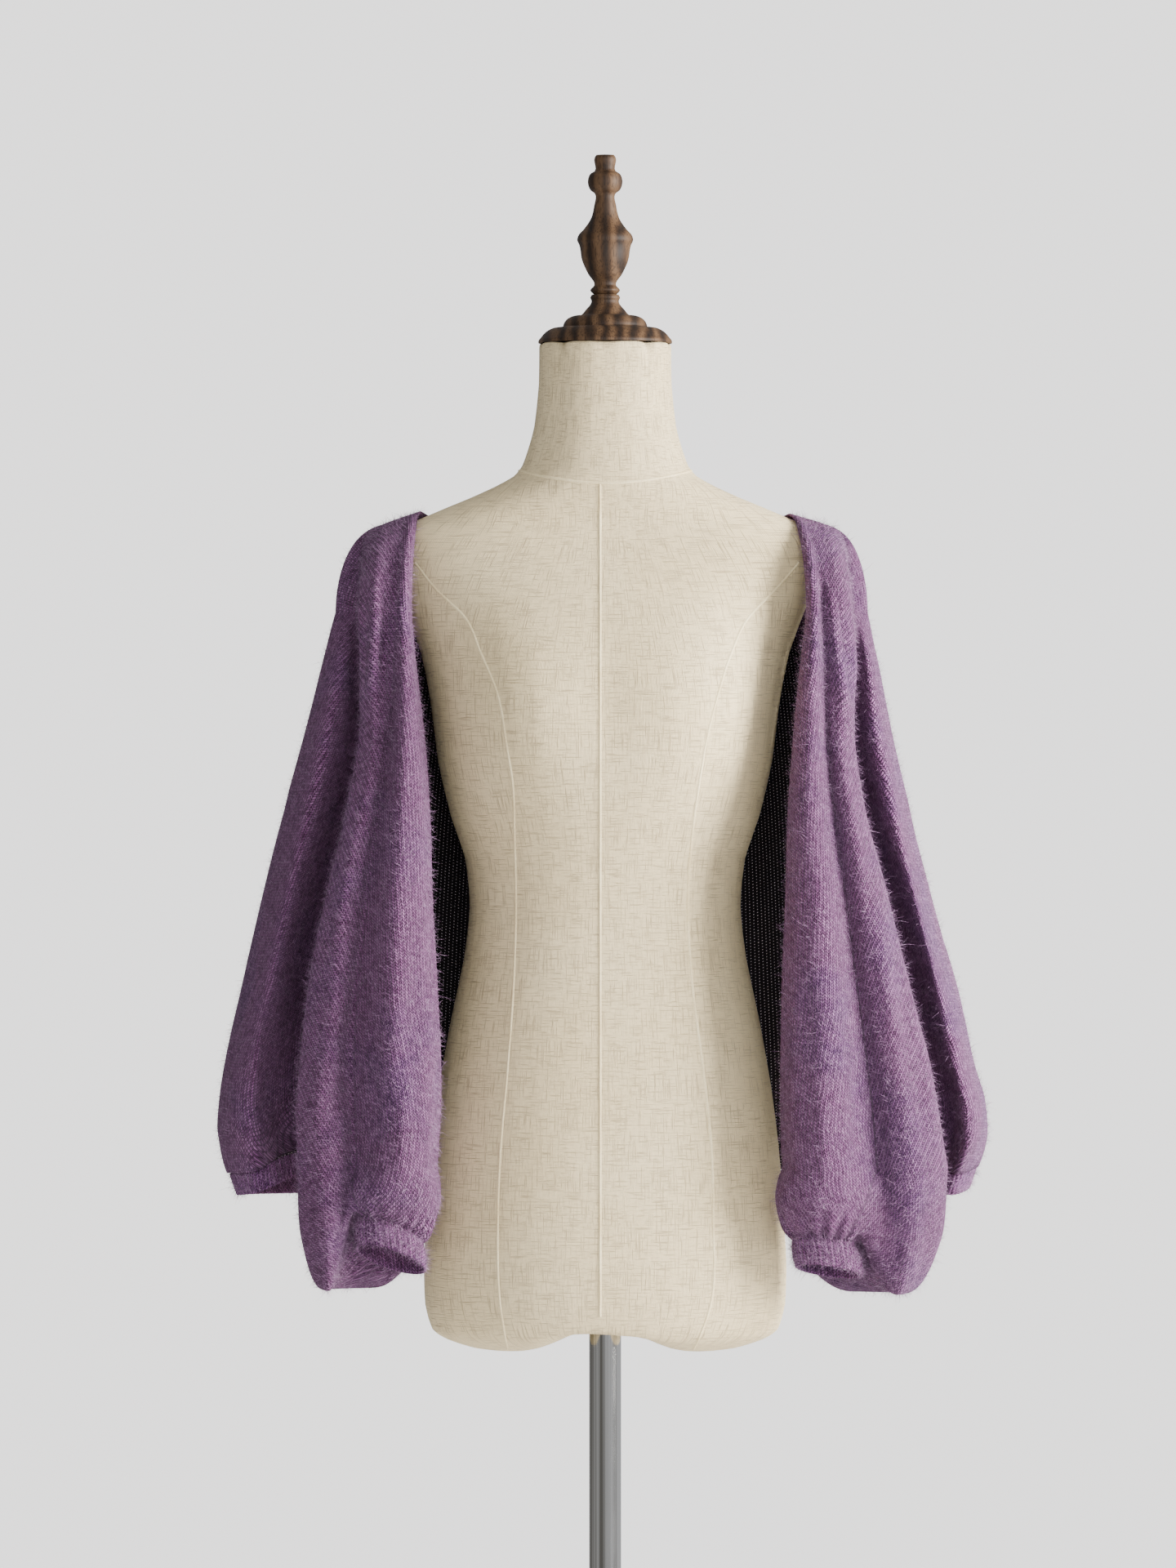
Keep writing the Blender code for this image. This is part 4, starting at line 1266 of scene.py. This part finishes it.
def make_hem(made):
    """The hem's net follows the back's foot, with the corners of its stretches rounded."""
    upper, lower = hem_rows()
    columns = HEM_RIBS * RIB_NET

    def place(row, column):
        share = column / columns
        return mix(along_row(upper, share), along_row(lower, share), row / HEM_NET_ROWS)

    points = net_of(HEM_NET_ROWS, columns, place)
    reach = 3 * RIB_NET
    shares = np.ones(2 * reach + 1) / (2 * reach + 1)
    padded = np.pad(points, ((0, 0), (reach, reach), (0, 0)), mode="reflect", reflect_type="odd")
    for axis in range(3):
        for row in range(HEM_NET_ROWS + 1):
            points[row, :, axis] = np.convolve(padded[row, :, axis], shares, mode="valid")

    def lift_at(row, column):
        return rib_lift(column / RIB_NET, row / HEM_NET_ROWS) - HEM_SINK

    facing = (2, columns // 2, (0.0, 1.0, 0.0))
    piece = lay_cloth("hem_rib", points, straight_uvs(points), lift_at, facing, (made, made))
    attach(piece, "root")
    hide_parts("hem_band")
    return piece


rib_yarn = knit("heather rib", RIB_TINT, RIB_RELIEF)
hem_rib = make_hem(rib_yarn)

# The cuffs. Narrow bands in fine rib of the same yarn, tighter than the sleeve that is
# gathered into them and linked to their upper edge.
CUFF_RIBS = 36
CUFF_NET_ROWS = 10
CUFF_ROLL = 0.7  # how far the band bulges at half its depth


def make_cuff(side, made):
    """A closed band, which bulges a little at half its depth."""
    columns = CUFF_RIBS * RIB_NET

    def place(row, column):
        return cuff_point(side, (column % columns) / columns, row / CUFF_NET_ROWS)

    def lift_at(row, column):
        share = row / CUFF_NET_ROWS
        roll = CUFF_ROLL * math.sin(math.pi * share) ** 2
        return rib_lift((column % columns) / RIB_NET, share) + roll

    points = net_of(CUFF_NET_ROWS, columns, place)
    points[:, :, 0] *= side_sign(side)
    facing = (5, columns // 4, (0.0, -1.0, 0.0))
    name = f"cuff_rib_{side}"
    piece = lay_cloth(name, points, straight_uvs(points), lift_at, facing, (made, made))
    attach(piece, "root")
    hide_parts(f"cuff_{side}")
    return piece


cuff_ribs = {side: make_cuff(side, rib_yarn) for side in ("left", "right")}

# The mohair bloom. Fine brushed fibres that stand off the yarn and light up at the edges.
# Each sheet of cloth gets the fibres that go with it here.
BLOOM_SEED = 235
FIBRE_WIDTH = 0.00026
FIBRE_LENGTH = (0.003, 0.0080)
STRAY_LENGTH = 0.014
STRAY_SHARE = 0.03
FIBRE_COUNTS = {"back": 34000, "sleeve": 26000, "cuff": 2600, "hem": 5200}
FIBRE_STEPS = 2
FIBRE_DEEP = (0.13, 0.06, 0.13)
FIBRE_MID = (0.22, 0.11, 0.21)
FIBRE_LILAC = (0.38, 0.24, 0.38)


def fibre_look():
    """Pale fibres in the yarn's own lilac."""
    made, tree, shader = new_material("mohair fibres", 0.8)
    shader.inputs["Sheen Weight"].default_value = 0.4
    shader.inputs["Specular IOR Level"].default_value = 0.2
    which = noise(tree, object_place(tree), 300.0, 2.0)
    stops = ((0.35, FIBRE_DEEP), (0.5, FIBRE_MID), (0.65, FIBRE_LILAC))
    tree.links.new(colour_ramp(tree, which, stops), shader.inputs["Base Color"])
    return made


def bloom(cloth, name, count, made):
    """Strands on the right side of a cloth: narrow ribbons that bend as they leave it."""
    chance = random.Random(f"{BLOOM_SEED} {name}")
    mesh = cloth.data
    faces = [face for face in mesh.polygons if face.material_index == 0]
    areas = np.cumsum([face.area for face in faces])
    bm = bmesh.new()
    for _strand in range(count):
        face = faces[min(int(np.searchsorted(areas, chance.random() * areas[-1])), len(faces) - 1)]
        corners = [mesh.vertices[place].co for place in face.vertices]
        root = corners[0].lerp(corners[1], chance.random()).lerp(corners[2], chance.random())
        normal = face.normal
        side = normal.orthogonal().normalized()
        side.rotate(Quaternion(normal, chance.uniform(0, 2 * math.pi)))
        length = chance.uniform(*FIBRE_LENGTH)
        if chance.random() < STRAY_SHARE:
            length = STRAY_LENGTH * chance.uniform(0.6, 1.0)
        lift = chance.uniform(0.2, 0.95)
        curl = chance.uniform(-1.2, 1.2)
        other = normal.cross(side)
        width = other.lerp(normal, 0.35).normalized() * FIBRE_WIDTH * chance.uniform(0.6, 1.1)
        pairs = []
        for step in range(FIBRE_STEPS + 1):
            along = step / FIBRE_STEPS
            spot = root + side * length * along * (1 - lift * 0.3)
            spot += normal * length * lift * along + other * length * 0.25 * curl * along * along
            thin = width * (1 - 0.75 * along) / 2
            pairs.append((bm.verts.new(spot - thin), bm.verts.new(spot + thin)))
        for (first, second), (third, fourth) in zip(pairs, pairs[1:]):
            bm.faces.new((first, second, fourth, third))
    piece = link_mesh(bm, name, [made])
    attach(piece, "root")
    return piece


fibres = fibre_look()
back_bloom = bloom(back_cloth, "back_bloom", FIBRE_COUNTS["back"], fibres)
hem_bloom = bloom(hem_rib, "hem_bloom", FIBRE_COUNTS["hem"], fibres)
for side in ("left", "right"):
    sleeve = sleeve_cloths[side]
    cuff = cuff_ribs[side]
    count = FIBRE_COUNTS["sleeve"]
    sleeve_bloom = bloom(sleeve, f"sleeve_bloom_{side}", count, fibres)
    count = FIBRE_COUNTS["cuff"]
    cuff_bloom = bloom(cuff, f"cuff_bloom_{side}", count, fibres)

# The setting. A pale floor under soft window light from the right, in a light grey room. The floor is
# not attached to the body, so it isn't part of the object.
FLOOR_REACH = 2.6
FLOOR_SIDES = 96
FLOOR_HEIGHT = -0.0005  # just under the base, so that the two don't flicker
ROOM_SEEN = (0.955, 0.94, 0.935)
ROOM_SEEN_STRENGTH = 2.1
ROOM_LIGHT = (0.93, 0.94, 0.96)
ROOM_LIGHT_STRENGTH = 0.5


def floor_paint():
    """Matt floor paint with the faintest roller grain and a slight unevenness."""
    made, tree, shader = new_material("floor paint", 0.95)
    shader.inputs["Specular IOR Level"].default_value = 0.1
    place = object_place(tree)
    cloud = noise(tree, place, 1.3, 2.0)
    stops = ((0.3, (0.80, 0.79, 0.79)), (0.7, (0.86, 0.85, 0.85)))
    tree.links.new(colour_ramp(tree, cloud, stops), shader.inputs["Base Color"])
    bump(tree, shader, noise(tree, place, 260.0, 3.0), 0.0003, 0.35)
    return made


def soft_light(name, place, target, size, watts, colour):
    """An area light that looks at a target."""
    data = bpy.data.lights.new(name, "AREA")
    data.shape = "RECTANGLE"
    data.size, data.size_y = size
    data.energy = watts
    data.color = colour
    lamp = bpy.data.objects.new(name, data)
    lamp.location = place
    lamp.rotation_euler = (Vector(target) - Vector(place)).to_track_quat("-Z", "Y").to_euler()
    scene.collection.objects.link(lamp)


floor = bmesh.new()
bmesh.ops.create_circle(floor, cap_ends=True, segments=FLOOR_SIDES, radius=FLOOR_REACH)
for vert in floor.verts:
    vert.co.z = FLOOR_HEIGHT
link_mesh(floor, "floor", [floor_paint()])
soft_light("window", (2.7, -0.95, 1.7), (0.0, 0.05, 1.15), (1.3, 2.2), 370.0, (1.0, 0.985, 0.965))
soft_light("room_bounce", (0.4, -4.2, 2.0), (0.0, 0.0, 1.15), (2.4, 2.2), 85.0, (0.98, 0.985, 1.0))


def pale_room():
    """The room: brighter where the camera sees it than as the light it gives."""
    world = bpy.data.worlds.new("pale room")
    world.use_nodes = True
    tree = world.node_tree
    seen = add_node(tree, "ShaderNodeBackground", {0: (*ROOM_SEEN, 1.0), 1: ROOM_SEEN_STRENGTH})
    given = add_node(tree, "ShaderNodeBackground", {0: (*ROOM_LIGHT, 1.0), 1: ROOM_LIGHT_STRENGTH})
    looked_at = add_node(tree, "ShaderNodeLightPath").outputs["Is Camera Ray"]
    links = {0: looked_at, 1: given.outputs[0], 2: seen.outputs[0]}
    both = add_node(tree, "ShaderNodeMixShader", links)
    tree.links.new(both.outputs[0], tree.nodes["World Output"].inputs[0])
    return world


scene.world = pale_room()

# The camera. Level with the waist, a long lens, as in the photograph.
CAMERA_LENS = 190.0
CAMERA_PLACE = (-0.0145, -7.0, 1.186)
camera_data = bpy.data.cameras.new("front")
camera_data.lens = CAMERA_LENS
camera_data.sensor_fit = "VERTICAL"
camera_data.sensor_height = 36.0
camera_data.clip_end = 60.0
camera = bpy.data.objects.new("front", camera_data)
camera.location = CAMERA_PLACE
camera.rotation_euler = (math.pi / 2, 0.0, 0.0)
scene.collection.objects.link(camera)
scene.camera = camera
